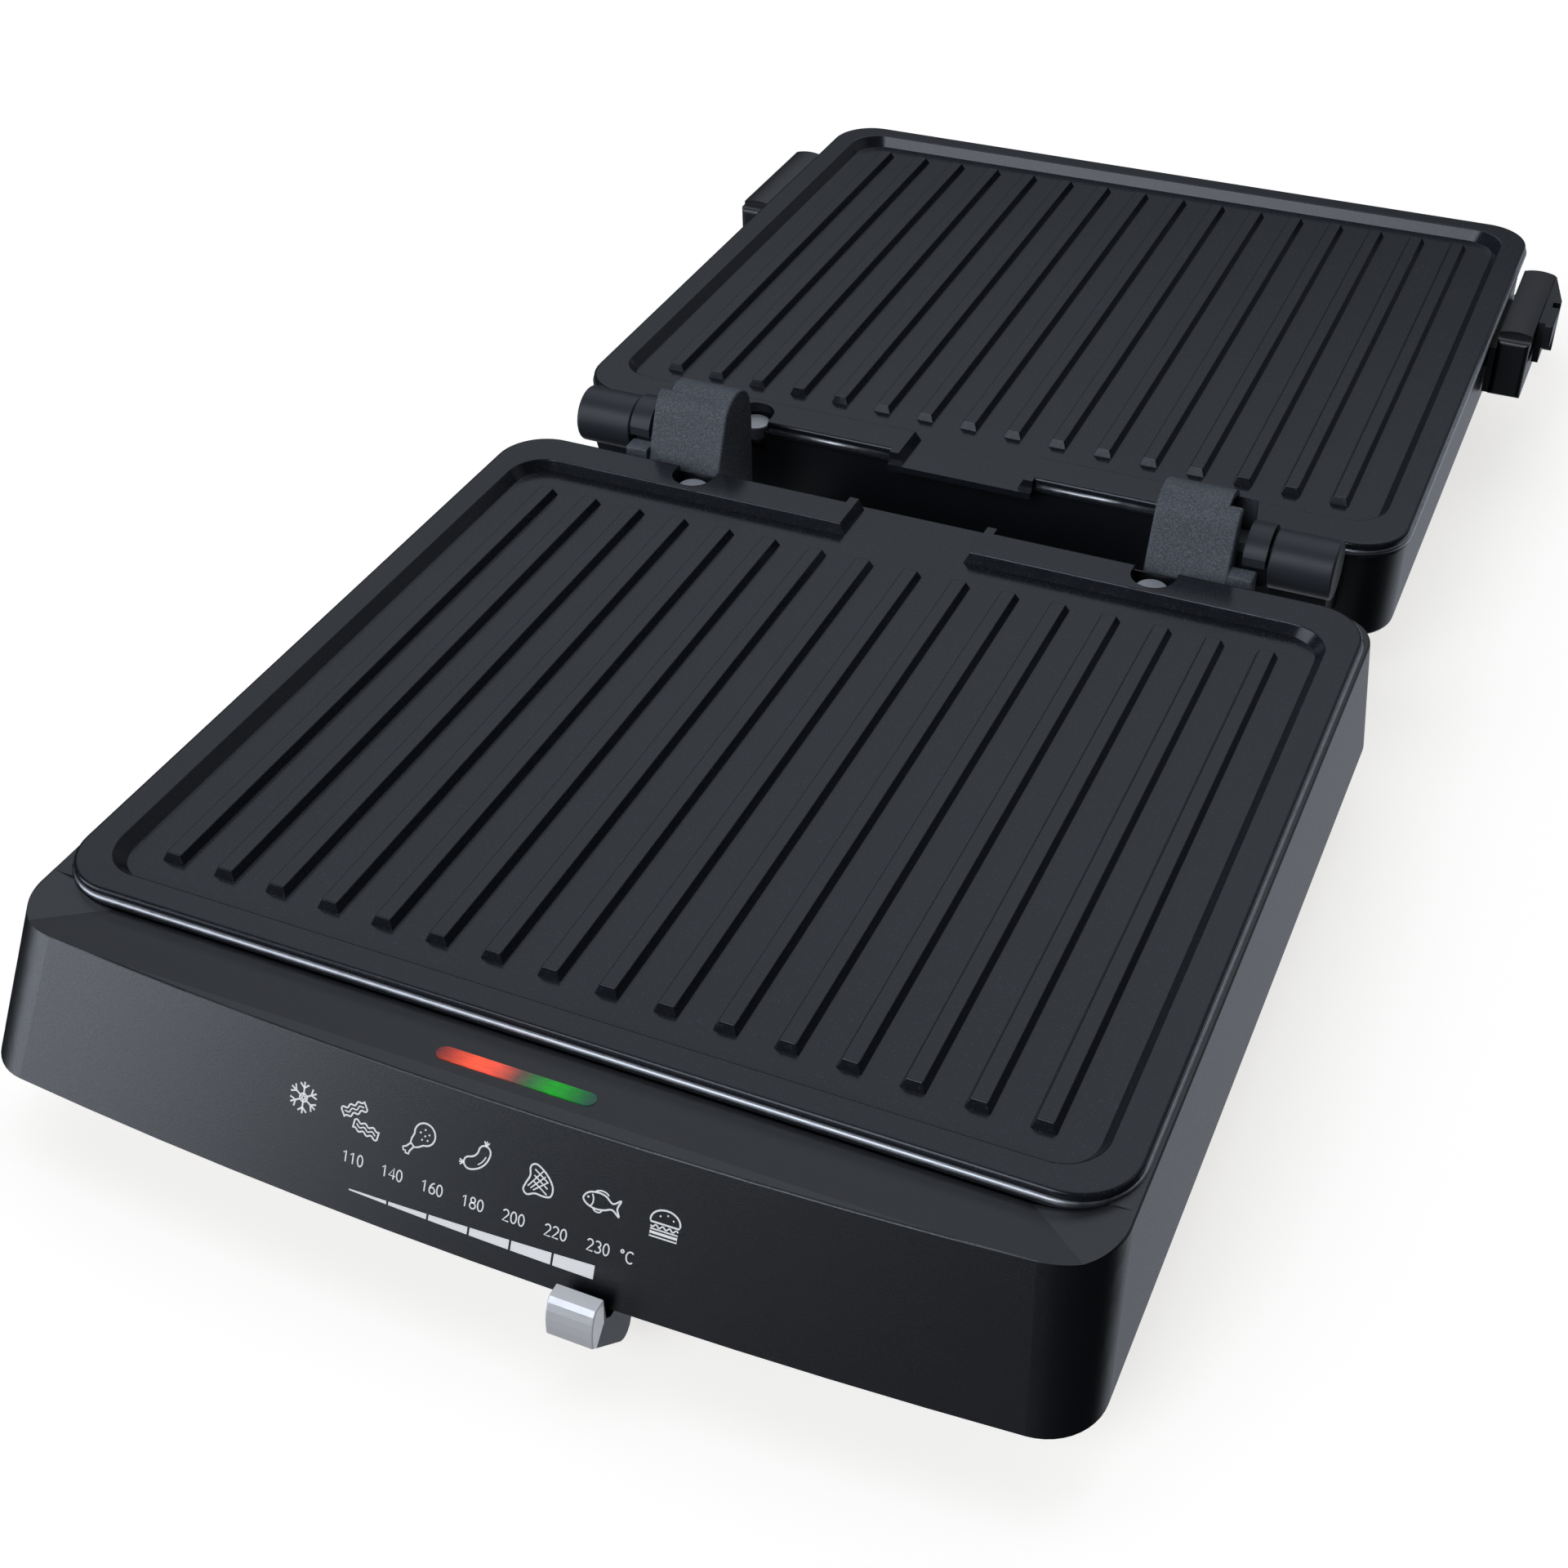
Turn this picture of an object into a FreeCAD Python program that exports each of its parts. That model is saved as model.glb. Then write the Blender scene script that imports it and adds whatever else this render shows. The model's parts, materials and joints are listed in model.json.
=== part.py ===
import FreeCAD, Part
import math
import os

# Contact grill (panini press) shown opened flat. Millimetres.
# Working frame while modelling: x = 0 on the symmetry plane, y = 0 at the front feet of the
# plate ribs, z = 0 on the floor of the lower plate. place() moves everything to the part frame,
# whose origin is on the table under the middle of the opened footprint.
TABLE_Z = -58.0
ORIGIN_Y = 249.8

# Hinge: the plates face each other with this distance between floors when the lid is shut.
HINGE_Y = 253.1
HINGE_Z = 4.0
SHUT_GAP = 9.54
OPEN_TILT = 0.69
LID_DROP = SHUT_GAP - 2 * HINGE_Z

# Grill plates (one casting design, used twice)
PLATE_W = 145.0
PLATE_Y0 = -19.1
PLATE_Y1 = 233.4
PLATE_R = 16.5
RIM_Z = 3.8
EDGE_Z = -1.0
BEAD_H = 0.9
BEAD_OUT = 0.45
RECESS_W = 136.0
RECESS_Y0 = -11.3
RECESS_Y1 = 219.8
RECESS_SLOPE = 2.6
RECESS_REAR_SLOPE = 1.1
RECESS_R = 12.0
PAN_DEPTH = 4.0
PAN_INSET = 6.0
PAN_Y1 = 221.8
RIB_COUNT = 16
RIB_PITCH = 16.0
RIB_FOOT = 3.39
RIB_TOP = 2.16
RIB_H = 2.62
RIB_LEN = 206.0
RIB_RUN = 1.2
RIB_EASE = 0.4
RIB_SINK = 0.2
RIM_EASE = 1.2
RECESS_EASE = 0.6
SPOUT_FLOOR = 20.2
SPOUT_TOP = 22.6
SPOUT_Y = 237.7
SPOUT_T = 2.2
SPOUT_ROOT = 4.0
EAR_T = 2.6
EAR_Y = 235.8
NOTCH_X = 78.3
NOTCH_R = 7.0
NOTCH_Y = 228.9

# Base housing: bottom outline flares out from the shoulder outline
BASE_Z0 = -36.0
SHOULDER_Z = 0.9
BASE_W0 = 150.5
BASE_W1 = 146.9
FRONT_Y0 = -59.6
FRONT_Y1 = -41.9
FRONT_BOW = 0.00031
FRONT_R0 = 15.4
FRONT_R1 = 17.6
REAR_Y = 235.2
REAR_R = 15.0
SHELL_T = 2.6
SHOULDER_EASE = 0.7
LEDGE_Z = -4.8
POCKET_GAP = 0.65
WELL_INSET = 16.0
HOLLOW_TOP_Z = -3.8

# Lid shell, modelled face up beside the base and turned over by to_lid()
LID_W = 144.4
LID_HINGE_Y = 230.9
LID_FRONT_Y = -16.6
LID_R = 15.5
LID_TOP_Z = -1.6
LID_Z0 = -33.0

# Hinge hardware
ARM_X0 = 72.9
ARM_X1 = 95.0
ARM_X2 = 99.4
FLANGE_X = 101.0
STRIP_Z = 21.4
CHANNEL_Y0 = 247.6
CHANNEL_Y1 = 261.8
PIN_R = 3.0
BARREL_R = 9.4
BARREL_X0 = 109.7
BARREL_X1 = 127.6
BARREL_END = 2.6
CAP_T = 2.2
RUN = 0.05
OVER = 1.0
HIGH = 9.0

# Latches that hold the plates, one at each notch
LATCH_Y = 228.0
LATCH_HEAD_R = 5.2
LATCH_HEAD_T = 4.4
LATCH_WAY_R = 5.6
STEM_R = 2.4
STEM_Y = 225.4
STEM_Z0 = -14.0

# Handle
BLOCK_X0 = 147.2
BLOCK_X1 = 158.8
BLOCK_Y0 = 5.2
BLOCK_Y1 = 65.7
BLOCK_Z0 = -25.2
BLOCK_Z1 = -2.6
BLOCK_RISE = 2.2
BLOCK_END_R = 2.5
NOSE_LEN = 4.2
NOSE_R = 2.0
INNER_GAP = 0.4
INNER_Y0 = 52.4
INNER_Z1 = -7.0
CROWN_R = 19.0
BRACKET_T = 6.0
GUARD_X = 164.2
GUARD_Y = (5.5, 26.0, 28.0)
GUARD_Z = (-22.0, -2.4)
LOCK_X = 161.6
LOCK_Y = (28.6, 49.1)
LOCK_Z = (-17.2, -1.2)
TAB_X = 164.6
TAB_Y = (35.2, 51.4)
TAB_Z = (-10.2, -0.8)
TONGUE_Y = (30.0, 46.0)
TONGUE_Z = (-12.3, -7.7)
TONGUE_IN = 2.2
TONGUE_WAY = 0.4
BAR_R = 9.0
BAR_WALL = 1.5
GRIP_R = 11.5
GRIP_HALF = 128.0
GRIP_EASE = 2.0
BAR_Y = -50.0

os.makedirs("parts", exist_ok=True)
V = FreeCAD.Vector
X = V(1, 0, 0)
Y = V(0, 1, 0)
Z = V(0, 0, 1)


def box(x0, x1, y0, y1, z0, z1):
    return Part.makeBox(x1 - x0, y1 - y0, z1 - z0, V(x0, y0, z0))


def rod(r, p, axis, length):
    return Part.makeCylinder(r, length, p, axis)


def cut(shape, *tools):
    return shape.cut(list(tools))


def join(first, *rest):
    return first.fuse(list(rest)).removeSplitter()


def mirror_x(shape):
    return shape.mirror(V(0, 0, 0), X)


def rounded(x, y0, y1, r, z):
    """Closed wire of a rounded rectangle, symmetric about x = 0."""
    k = r * (1 - math.sqrt(0.5))
    pts = []
    for sx, sy, yc in ((1, -1, y0), (1, 1, y1), (-1, 1, y1), (-1, -1, y0)):
        a = V(sx * (x - r), yc, z)
        m = V(sx * (x - k), yc - sy * k, z)
        b = V(sx * x, yc - sy * r, z)
        pts.append((a, m, b) if sx * sy < 0 else (b, m, a))
    edges = []
    for i, (a, m, b) in enumerate(pts):
        edges.append(Part.Arc(a, m, b).toShape())
        edges.append(Part.makeLine(b, pts[(i + 1) % 4][0]))
    return Part.Wire(edges)


def slab(x, y0, y1, r, z0, z1):
    return Part.Face(rounded(x, y0, y1, r, z0)).extrude(V(0, 0, z1 - z0))


def loft(wires):
    return Part.makeLoft(wires, True, True)


def bowed(w, front, r_front, rear, r_rear, z, inset=0.0):
    """Housing outline: bowed front edge, rounded corners, straight sides and rear."""
    w = w - inset
    front = front + inset
    rear = rear - inset
    r_front = max(r_front - inset, 2.0)
    r_rear = max(r_rear - inset, 2.0)
    big = 1 / (2 * FRONT_BOW) - inset
    cy = front + big
    xc = w - r_front
    yc = cy - math.sqrt((big - r_front) ** 2 - xc ** 2)
    reach = big / (big - r_front)
    tx = xc * reach
    ty = cy - (cy - yc) * reach
    mid = math.atan2(-(cy - yc), xc) / 2
    corner_mid = V(xc + r_front * math.cos(mid), yc + r_front * math.sin(mid), z)
    k = r_rear * math.sqrt(0.5)
    rear_mid = V(w - r_rear + k, rear - r_rear + k, z)

    def left(p):
        return V(-p.x, p.y, p.z)

    t = V(tx, ty, z)
    s = V(w, yc, z)
    u = V(w, rear - r_rear, z)
    q = V(w - r_rear, rear, z)
    edges = [
        Part.Arc(left(t), V(0, front, z), t).toShape(),
        Part.Arc(t, corner_mid, s).toShape(),
        Part.makeLine(s, u),
        Part.Arc(u, rear_mid, q).toShape(),
        Part.makeLine(q, left(q)),
        Part.Arc(left(q), left(rear_mid), left(u)).toShape(),
        Part.makeLine(left(u), left(s)),
        Part.Arc(left(s), left(corner_mid), left(t)).toShape(),
    ]
    return Part.Wire(edges)


def prism_yz(points, x0, x1):
    wire = Part.makePolygon([V(x0, y, z) for y, z in points + points[:1]])
    return Part.Face(wire).extrude(V(x1 - x0, 0, 0))


def profile_yz(x, start, *steps):
    """Closed outline in a plane of constant x: a step is a point, or (middle, end) of an arc."""
    at = V(x, *start)
    first = at
    edges = []
    for step in steps:
        is_arc = isinstance(step[0], tuple)
        end = V(x, *(step[1] if is_arc else step))
        edges.append(Part.Arc(at, V(x, *step[0]), end).toShape() if is_arc
                     else Part.makeLine(at, end))
        at = end
    edges.append(Part.makeLine(at, first))
    return Part.Face(Part.Wire(edges))


def prism_xz(points, y0, y1):
    wire = Part.makePolygon([V(x, y0, z) for x, z in points + points[:1]])
    return Part.Face(wire).extrude(V(0, y1 - y0, 0))


def prism_xy(points, z0, z1):
    wire = Part.makePolygon([V(x, y, z0) for x, y in points + points[:1]])
    return Part.Face(wire).extrude(V(0, 0, z1 - z0))


def place(shape):
    moved = shape.copy()
    moved.translate(V(0, -ORIGIN_Y, -TABLE_Z))
    return moved


def tilt(shape):
    """Turns an opened-flat lid piece by the little the open lid still leans."""
    turned = shape.copy()
    turned.rotate(V(0, HINGE_Y, HINGE_Z), X, OPEN_TILT)
    return turned


def to_lid(shape):
    """Turns a lid piece, modelled face up in the base's place, to the opened position."""
    turned = shape.mirror(V(0, HINGE_Y, 0), Y)
    turned.translate(V(0, 0, -LID_DROP))
    return tilt(turned)


def save(name, shape):
    place(shape).exportStep("parts/" + name + ".step")


def ease(shape, r, pick):
    """Fillets the edges whose midpoint satisfies pick."""
    chosen = [e for e in shape.Edges if pick(e.valueAt((e.FirstParameter + e.LastParameter) / 2))]
    return shape.makeFillet(r, chosen)


# ---- grill plate ---------------------------------------------------------------------------
def rib_outline(x, half, inset, z):
    y1 = RIB_LEN - inset
    return Part.makePolygon([V(x - half, inset, z), V(x + half, inset, z), V(x + half, y1, z),
                             V(x - half, y1, z), V(x - half, inset, z)])


def make_plate():
    flange = slab(PLATE_W, PLATE_Y0, PLATE_Y1, PLATE_R, EDGE_Z, RIM_Z)
    bead = slab(PLATE_W + BEAD_OUT, PLATE_Y0 - BEAD_OUT, PLATE_Y1 + BEAD_OUT,
                PLATE_R + BEAD_OUT, EDGE_Z, EDGE_Z + BEAD_H)
    pan = slab(PLATE_W - PAN_INSET, PLATE_Y0 + PAN_INSET, PAN_Y1,
               PLATE_R - PAN_INSET, -PAN_DEPTH, EDGE_Z)
    recess = loft([
        rounded(RECESS_W - RECESS_SLOPE, RECESS_Y0 + RECESS_SLOPE,
                RECESS_Y1 - RECESS_REAR_SLOPE, RECESS_R - RECESS_SLOPE / 2, 0.0),
        rounded(RECESS_W, RECESS_Y0, RECESS_Y1, RECESS_R, RIM_Z),
    ])
    flange = ease(flange, RIM_EASE, lambda p: p.z > RIM_Z - 0.01)
    plate = join(flange, bead, pan)
    half = SPOUT_TOP + EAR_T
    root = PLATE_Y1 - SPOUT_ROOT
    tongue = box(-half, half, root, SPOUT_Y, -SPOUT_T, 0.0)
    ears = box(-half, half, root, EAR_Y, -SPOUT_T, RIM_Z)
    channel_pts = [(-SPOUT_FLOOR, 0.0), (SPOUT_FLOOR, 0.0), (SPOUT_TOP, RIM_Z + OVER),
                   (-SPOUT_TOP, RIM_Z + OVER)]
    start = RECESS_Y1 - 2 * SPOUT_ROOT
    wire = Part.makePolygon([V(x, start, z) for x, z in channel_pts + channel_pts[:1]])
    channel = Part.Face(wire).extrude(V(0, SPOUT_Y - RECESS_Y1 + 3 * SPOUT_ROOT, 0))
    plate = join(plate, tongue, ears)
    plate = cut(plate, recess, channel)
    inside = PLATE_W - RIM_EASE - OVER
    plate = ease(plate, RECESS_EASE, lambda p: abs(p.z - RIM_Z) < 0.01 and abs(p.x) < inside
                 and PLATE_Y0 + RIM_EASE + OVER < p.y < RECESS_Y1 + OVER / 2)
    for side in (-1, 1):
        x = side * NOTCH_X
        round_end = rod(NOTCH_R, V(x, NOTCH_Y, -HIGH), Z, 2 * HIGH)
        mouth = box(x - NOTCH_R, x + NOTCH_R, NOTCH_Y, SPOUT_Y + OVER, -HIGH, HIGH)
        plate = cut(plate, round_end, mouth)
    ribs = []
    for i in range(RIB_COUNT):
        x = (i - (RIB_COUNT - 1) / 2) * RIB_PITCH
        foot = rib_outline(x, RIB_FOOT, 0.0, -RIB_SINK)
        top = rib_outline(x, RIB_TOP, RIB_RUN, RIB_H)
        ribs.append(ease(loft([foot, top]), RIB_EASE, lambda p: p.z > 0))
    return plate.fuse(ribs)


# ---- heating element: a hairpin tube pressed under the plate -------------------------------
ELEMENT_R = 3.2
ELEMENT_Z = -7.4
ELEMENT_TURN = 6.0
LEG_X = (-96.0, -32.0, 32.0, 96.0)
LEG_Y0 = 46.0
LEG_Y1 = 150.0
TERMINAL_Z = -19.0


def elbow(x, y, z, start, sweep, normal):
    circle = Part.Wire(Part.makeCircle(ELEMENT_R, V(x, y, z) + start, start.cross(normal)))
    return Part.Face(circle).revolve(V(x, y, z), normal, sweep)


def make_element():
    pieces = []
    bend = (LEG_X[1] - LEG_X[0]) / 2
    for x in LEG_X:
        pieces.append(rod(ELEMENT_R, V(x, LEG_Y0, ELEMENT_Z), Y, LEG_Y1 - LEG_Y0))
    for i in range(3):
        xm = (LEG_X[i] + LEG_X[i + 1]) / 2
        far = i != 1
        pieces.append(elbow(xm, LEG_Y1 if far else LEG_Y0, ELEMENT_Z, V(bend, 0, 0),
                            180 if far else -180, Z))
    for x in (LEG_X[0], LEG_X[-1]):
        turn_z = ELEMENT_Z - ELEMENT_TURN
        pieces.append(elbow(x, LEG_Y0, turn_z, V(0, 0, ELEMENT_TURN), 90, X))
        pieces.append(rod(ELEMENT_R, V(x, LEG_Y0 - ELEMENT_TURN, TERMINAL_Z), Z,
                          turn_z - TERMINAL_Z))
    tube = pieces[0]
    return tube.fuse(pieces[1:])


# ---- reflector tray under the element ------------------------------------------------------
SHEET_T = 0.8
SHEET_RIM_IN = 11.0
SHEET_RIM_Y1 = 216.0
SHEET_DEPTH = 11.0
SHEET_WELL_IN = 24.0
SHEET_WELL_Y1 = 204.0
SHEET_R = 6.0
SADDLE_Y = (70.0, 130.0)
SADDLE_X = 5.0
SADDLE_HALF = 3.0


def make_reflector():
    top = -PAN_DEPTH
    floor_z = top - SHEET_DEPTH + SHEET_T
    rim = slab(PLATE_W - SHEET_RIM_IN, PLATE_Y0 + SHEET_RIM_IN, SHEET_RIM_Y1, SHEET_R + 2,
               LEDGE_Z, top)
    half = PLATE_W - SHEET_WELL_IN
    front = PLATE_Y0 + SHEET_WELL_IN
    well = slab(half, front, SHEET_WELL_Y1, SHEET_R, top - SHEET_DEPTH, top)
    hollow = slab(half - SHEET_T, front + SHEET_T, SHEET_WELL_Y1 - SHEET_T, SHEET_R - SHEET_T,
                  floor_z, top + OVER)
    tray = cut(join(rim, well), hollow)
    for x in (LEG_X[0], LEG_X[-1]):
        way = V(x, LEG_Y0 - ELEMENT_TURN, TERMINAL_Z - ELEMENT_R)
        tray = cut(tray, rod(ELEMENT_R + 1.2, way, Z, 14))
    saddles = []
    for x in LEG_X:
        for y in SADDLE_Y:
            saddle = box(x - SADDLE_X, x + SADDLE_X, y - SADDLE_HALF, y + SADDLE_HALF, floor_z,
                         ELEMENT_Z)
            seat = rod(ELEMENT_R, V(x, y - SADDLE_HALF - OVER, ELEMENT_Z), Y,
                       2 * (SADDLE_HALF + OVER))
            saddles.append(cut(saddle, seat))
    return tray.fuse(saddles)


# ---- base housing --------------------------------------------------------------------------
def base_outline(z, inset=0.0):
    t = (z - BASE_Z0) / (SHOULDER_Z - BASE_Z0)
    return bowed(BASE_W0 + (BASE_W1 - BASE_W0) * t, FRONT_Y0 + (FRONT_Y1 - FRONT_Y0) * t,
                 FRONT_R0 + (FRONT_R1 - FRONT_R0) * t, REAR_Y, REAR_R, z, inset)


LAMP_X = 1.0
LAMP_Y = -32.2
LAMP_HALF = 21.3
LAMP_R = 2.3
LAMP_GAP = 0.1
DISH_FALL = 2.4
DISH_SIDE = 1.0
DISH_RAMP = 22.0
DISH_FRONT = 4.0
DISH_REAR = 0.5
HOLLOW_SIDE = 12.0
HOLLOW_FRONT = 2.0
HOLLOW_REAR = 6.0
HOLLOW_R = 3.0
WELL_Y1 = 210.0
WELL_R = 10.0
SPOUT_GAP = 0.4
SPOUT_WAY_Y = (224.0, 240.0)
SLOT_X = (-38.0, 42.0)
SLOT_Y = (-51.8, -47.4)
STUD_X = 84.0
STUD_R = 4.0
STUD_Y = 229.0
STUD_Z = (-28.0, -15.0)


def lamp_body(r, z0, z1):
    """Stadium prism of the indicator window, along x."""
    half = LAMP_HALF - LAMP_R
    body = box(LAMP_X - half, LAMP_X + half, LAMP_Y - r, LAMP_Y + r, z0, z1)
    ends = [rod(r, V(LAMP_X + s * half, LAMP_Y, z0), Z, z1 - z0) for s in (-1, 1)]
    return join(body, *ends)


def spout_way():
    """Space for a plate's spout across the hinge-side wall of its housing."""
    half = SPOUT_TOP + EAR_T + SPOUT_GAP
    return box(-half, half, *SPOUT_WAY_Y, -SPOUT_T - SPOUT_GAP, HIGH)


def plate_well():
    """Room under a plate for its element and reflector."""
    return slab(PLATE_W - WELL_INSET, PLATE_Y0 + WELL_INSET, WELL_Y1, WELL_R, BASE_Z0, HIGH)


def latch_way(side):
    return rod(LATCH_WAY_R, V(side * NOTCH_X, LATCH_Y, LEDGE_Z - 4), Z, 12)


def make_lower_housing():
    outer = loft([base_outline(BASE_Z0), base_outline(SHOULDER_Z)])
    outer = ease(outer, SHOULDER_EASE, lambda p: p.z > SHOULDER_Z - 0.01)
    inner_top = LEDGE_Z - SHELL_T
    inner = loft([base_outline(BASE_Z0 - OVER, SHELL_T), base_outline(inner_top, SHELL_T)])
    pocket = slab(PLATE_W + POCKET_GAP, PLATE_Y0 - POCKET_GAP, PLATE_Y1 + POCKET_GAP,
                  PLATE_R + POCKET_GAP, LEDGE_Z, HIGH)
    hollow_wire = bowed(BASE_W1 - HOLLOW_SIDE, FRONT_Y1 + HOLLOW_FRONT, HOLLOW_R,
                        PLATE_Y0 - HOLLOW_REAR, HOLLOW_R, inner_top - OVER)
    front_hollow = Part.Face(hollow_wire).extrude(V(0, 0, HOLLOW_TOP_Z - inner_top + OVER))
    dish_y0 = FRONT_Y1 + DISH_FRONT
    dish_y1 = PLATE_Y0 + DISH_FRONT
    dish = prism_yz([(dish_y0, SHOULDER_Z + 0.01), (PLATE_Y0 - DISH_REAR, SHOULDER_Z - DISH_FALL),
                     (dish_y1, SHOULDER_Z - DISH_FALL), (dish_y1, HIGH), (dish_y0, HIGH)],
                    -BASE_W1, BASE_W1)
    high = BASE_W1 - DISH_SIDE
    low = high - DISH_RAMP
    ends = prism_xz([(-high, SHOULDER_Z + 0.01), (-low, SHOULDER_Z - DISH_FALL),
                     (low, SHOULDER_Z - DISH_FALL), (high, SHOULDER_Z + 0.01), (high, HIGH),
                     (-high, HIGH)], FRONT_Y1, 0.0)
    dish = dish.common(ends)
    shell = cut(outer, inner, pocket, plate_well(), front_hollow, dish, spout_way())
    shell = cut(shell, lamp_body(LAMP_R + LAMP_GAP, -HIGH, HIGH))
    shell = cut(shell, rod(GLAND_R + LAMP_GAP, V(CORD_X, REAR_Y - 5, CORD_Z), Y, 12))
    for side in (-1, 1):
        shell = cut(shell, latch_way(side))
        for z in STUD_Z:
            shell = cut(shell, rod(STUD_R + RUN, V(side * STUD_X, STUD_Y, z), Y, HIGH))
    return shell


# ---- bottom cover with the four legs -------------------------------------------------------
LEG_TOP_R = 15.0
LEG_BOT_R = 12.0
FOOT_R = 10.0
FOOT_H = 4.0
FEET = ((-112.0, -24.0), (112.0, -24.0), (-112.0, 196.0), (112.0, 196.0))
COVER_IN = 3.2
COVER_LIFT = 0.2
COVER_SHEET = 2.0
LEG_RIM = 1.2
VENT_COUNT = 9
VENT_PITCH = 15.0
VENT_HALF = 2.5
VENT_Y = (20.0, 60.0)
SCREW_AT = ((-60, -40), (60, -40), (-130, 90), (130, 90), (-70, 215), (70, 215))
SCREW_R = 3.2
SCREW_Z = -39.4
SCREW_T = 1.6
SCREW_SLOT = 0.5
SCREW_REACH = 2.4

# Drip tray and the two rails it slides on
TRAY_X = 62.0
TRAY_Y0 = 132.0
TRAY_Y1 = 262.0
TRAY_Z0 = -53.6
TRAY_Z1 = -42.0
TRAY_WALL = 1.8
TRAY_GAP = 0.6
TRAY_R = 6.0
PULL_HALF = 22.0
PULL_OUT = 7.0
PULL_T = 3.5
SCOOP_HALF = 16.0
SCOOP_Y = (1.0, 5.5)
SCOOP_Z1 = -43.4
RAIL_OUT = 3.0
RAIL_HALF = 1.2
RAIL_Y = (138.0, 226.0)
RAIL_Z = (-56.0, -54.0, -37.8)
RAIL_LIP = 6.0
PAD_EASE = 1.0
PAD_STEM_R = 3.0
PAD_STEM_LEN = 5.0

# Mains entry
CORD_X = -46.0
CORD_Z = -26.0
CORD_R = 3.6
GLAND_R = 5.6


def make_base_cover():
    sheet = Part.Face(base_outline(BASE_Z0 + COVER_LIFT, COVER_IN))
    cover = sheet.extrude(V(0, 0, -COVER_SHEET))
    leg_z0 = TABLE_Z + FOOT_H
    leg_z1 = BASE_Z0 - OVER
    legs = []
    tools = [box(*SLOT_X, *SLOT_Y, TABLE_Z, -20)]
    for x, y in FEET:
        legs.append(Part.makeCone(LEG_BOT_R, LEG_TOP_R, leg_z1 - leg_z0, V(x, y, leg_z0), Z))
        legs.append(rod(LEG_TOP_R, V(x, y, BASE_Z0 - LEG_RIM), Z, LEG_RIM))
        tools.append(rod(PAD_STEM_R, V(x, y, TABLE_Z), Z, FOOT_H + PAD_STEM_LEN + OVER))
    for i in range(VENT_COUNT):
        x = VENT_PITCH * (i - (VENT_COUNT - 1) / 2)
        tools.append(box(x - VENT_HALF, x + VENT_HALF, *VENT_Y, TABLE_Z, -20))
    return cut(cover.fuse(legs), *tools).removeSplitter()


def make_tray_guide():
    """Two L rails under the cover that carry the drip tray."""
    low, mid, high = RAIL_Z
    rails = []
    for side in (-1, 1):
        x = side * (TRAY_X + RAIL_OUT)
        web = box(x - RAIL_HALF, x + RAIL_HALF, *RAIL_Y, mid, high)
        lip = box(*sorted((x, x - side * RAIL_LIP)), *RAIL_Y, low, mid)
        rails.append(join(web, lip))
    return Part.makeCompound(rails)


def make_drip_tray():
    wall = TRAY_WALL
    outer = slab(TRAY_X - TRAY_GAP, TRAY_Y0, TRAY_Y1, TRAY_R, TRAY_Z0, TRAY_Z1)
    inner = slab(TRAY_X - TRAY_GAP - wall, TRAY_Y0 + wall, TRAY_Y1 - wall, TRAY_R - wall,
                 TRAY_Z0 + wall, TRAY_Z1 + OVER)
    pull = box(-PULL_HALF, PULL_HALF, TRAY_Y1 - OVER, TRAY_Y1 + PULL_OUT, TRAY_Z1 - PULL_T,
               TRAY_Z1)
    scoop = box(-SCOOP_HALF, SCOOP_HALF, TRAY_Y1 + SCOOP_Y[0], TRAY_Y1 + SCOOP_Y[1],
                TRAY_Z1 - PULL_T - OVER, SCOOP_Z1)
    return join(cut(outer, inner), cut(pull, scoop))


def make_feet():
    pads = []
    for x, y in FEET:
        pad = rod(FOOT_R, V(x, y, TABLE_Z), Z, FOOT_H)
        pad = ease(pad, PAD_EASE, lambda p: p.z < TABLE_Z + 0.01)
        stem = rod(PAD_STEM_R, V(x, y, TABLE_Z + FOOT_H), Z, PAD_STEM_LEN)
        pads.append(join(pad, stem))
    return Part.makeCompound(pads)


# ---- hinge arm: an outward-open channel with a rounded top ---------------------------------
ARM_FOOT_Z = -35.0
ARM_FRONT_Y = 235.4
ARM_SHOULDER = (243.9, 16.9)
ARM_TOP = (253.4, 23.0)
ARM_BACK = (262.8, 17.2)
ARM_REAR = (264.0, 10.0)
ARM_REAR_Y = 263.8
STRIP_Y = 249.0
ARM_EASE = 0.9
ARCH_Y = 254.0
ARCH_Z = 11.2
ARCH_R = 9.6
ARM_WEB_T = 2.4
ARM_FRONT_TOP = (236.2, -2.0)
CHANNEL_Z = (-6.0, 13.0)
FLANGE_Z1 = 17.6
FLANGE_Y = 261.9
LUG_X = 107.3
LUG_Y = (236.4, 242.8)
LUG_Z = (-12.0, -2.0, 4.4)
LUG_EASE = 0.8
PIN_WAY_R = 6.0


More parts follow.
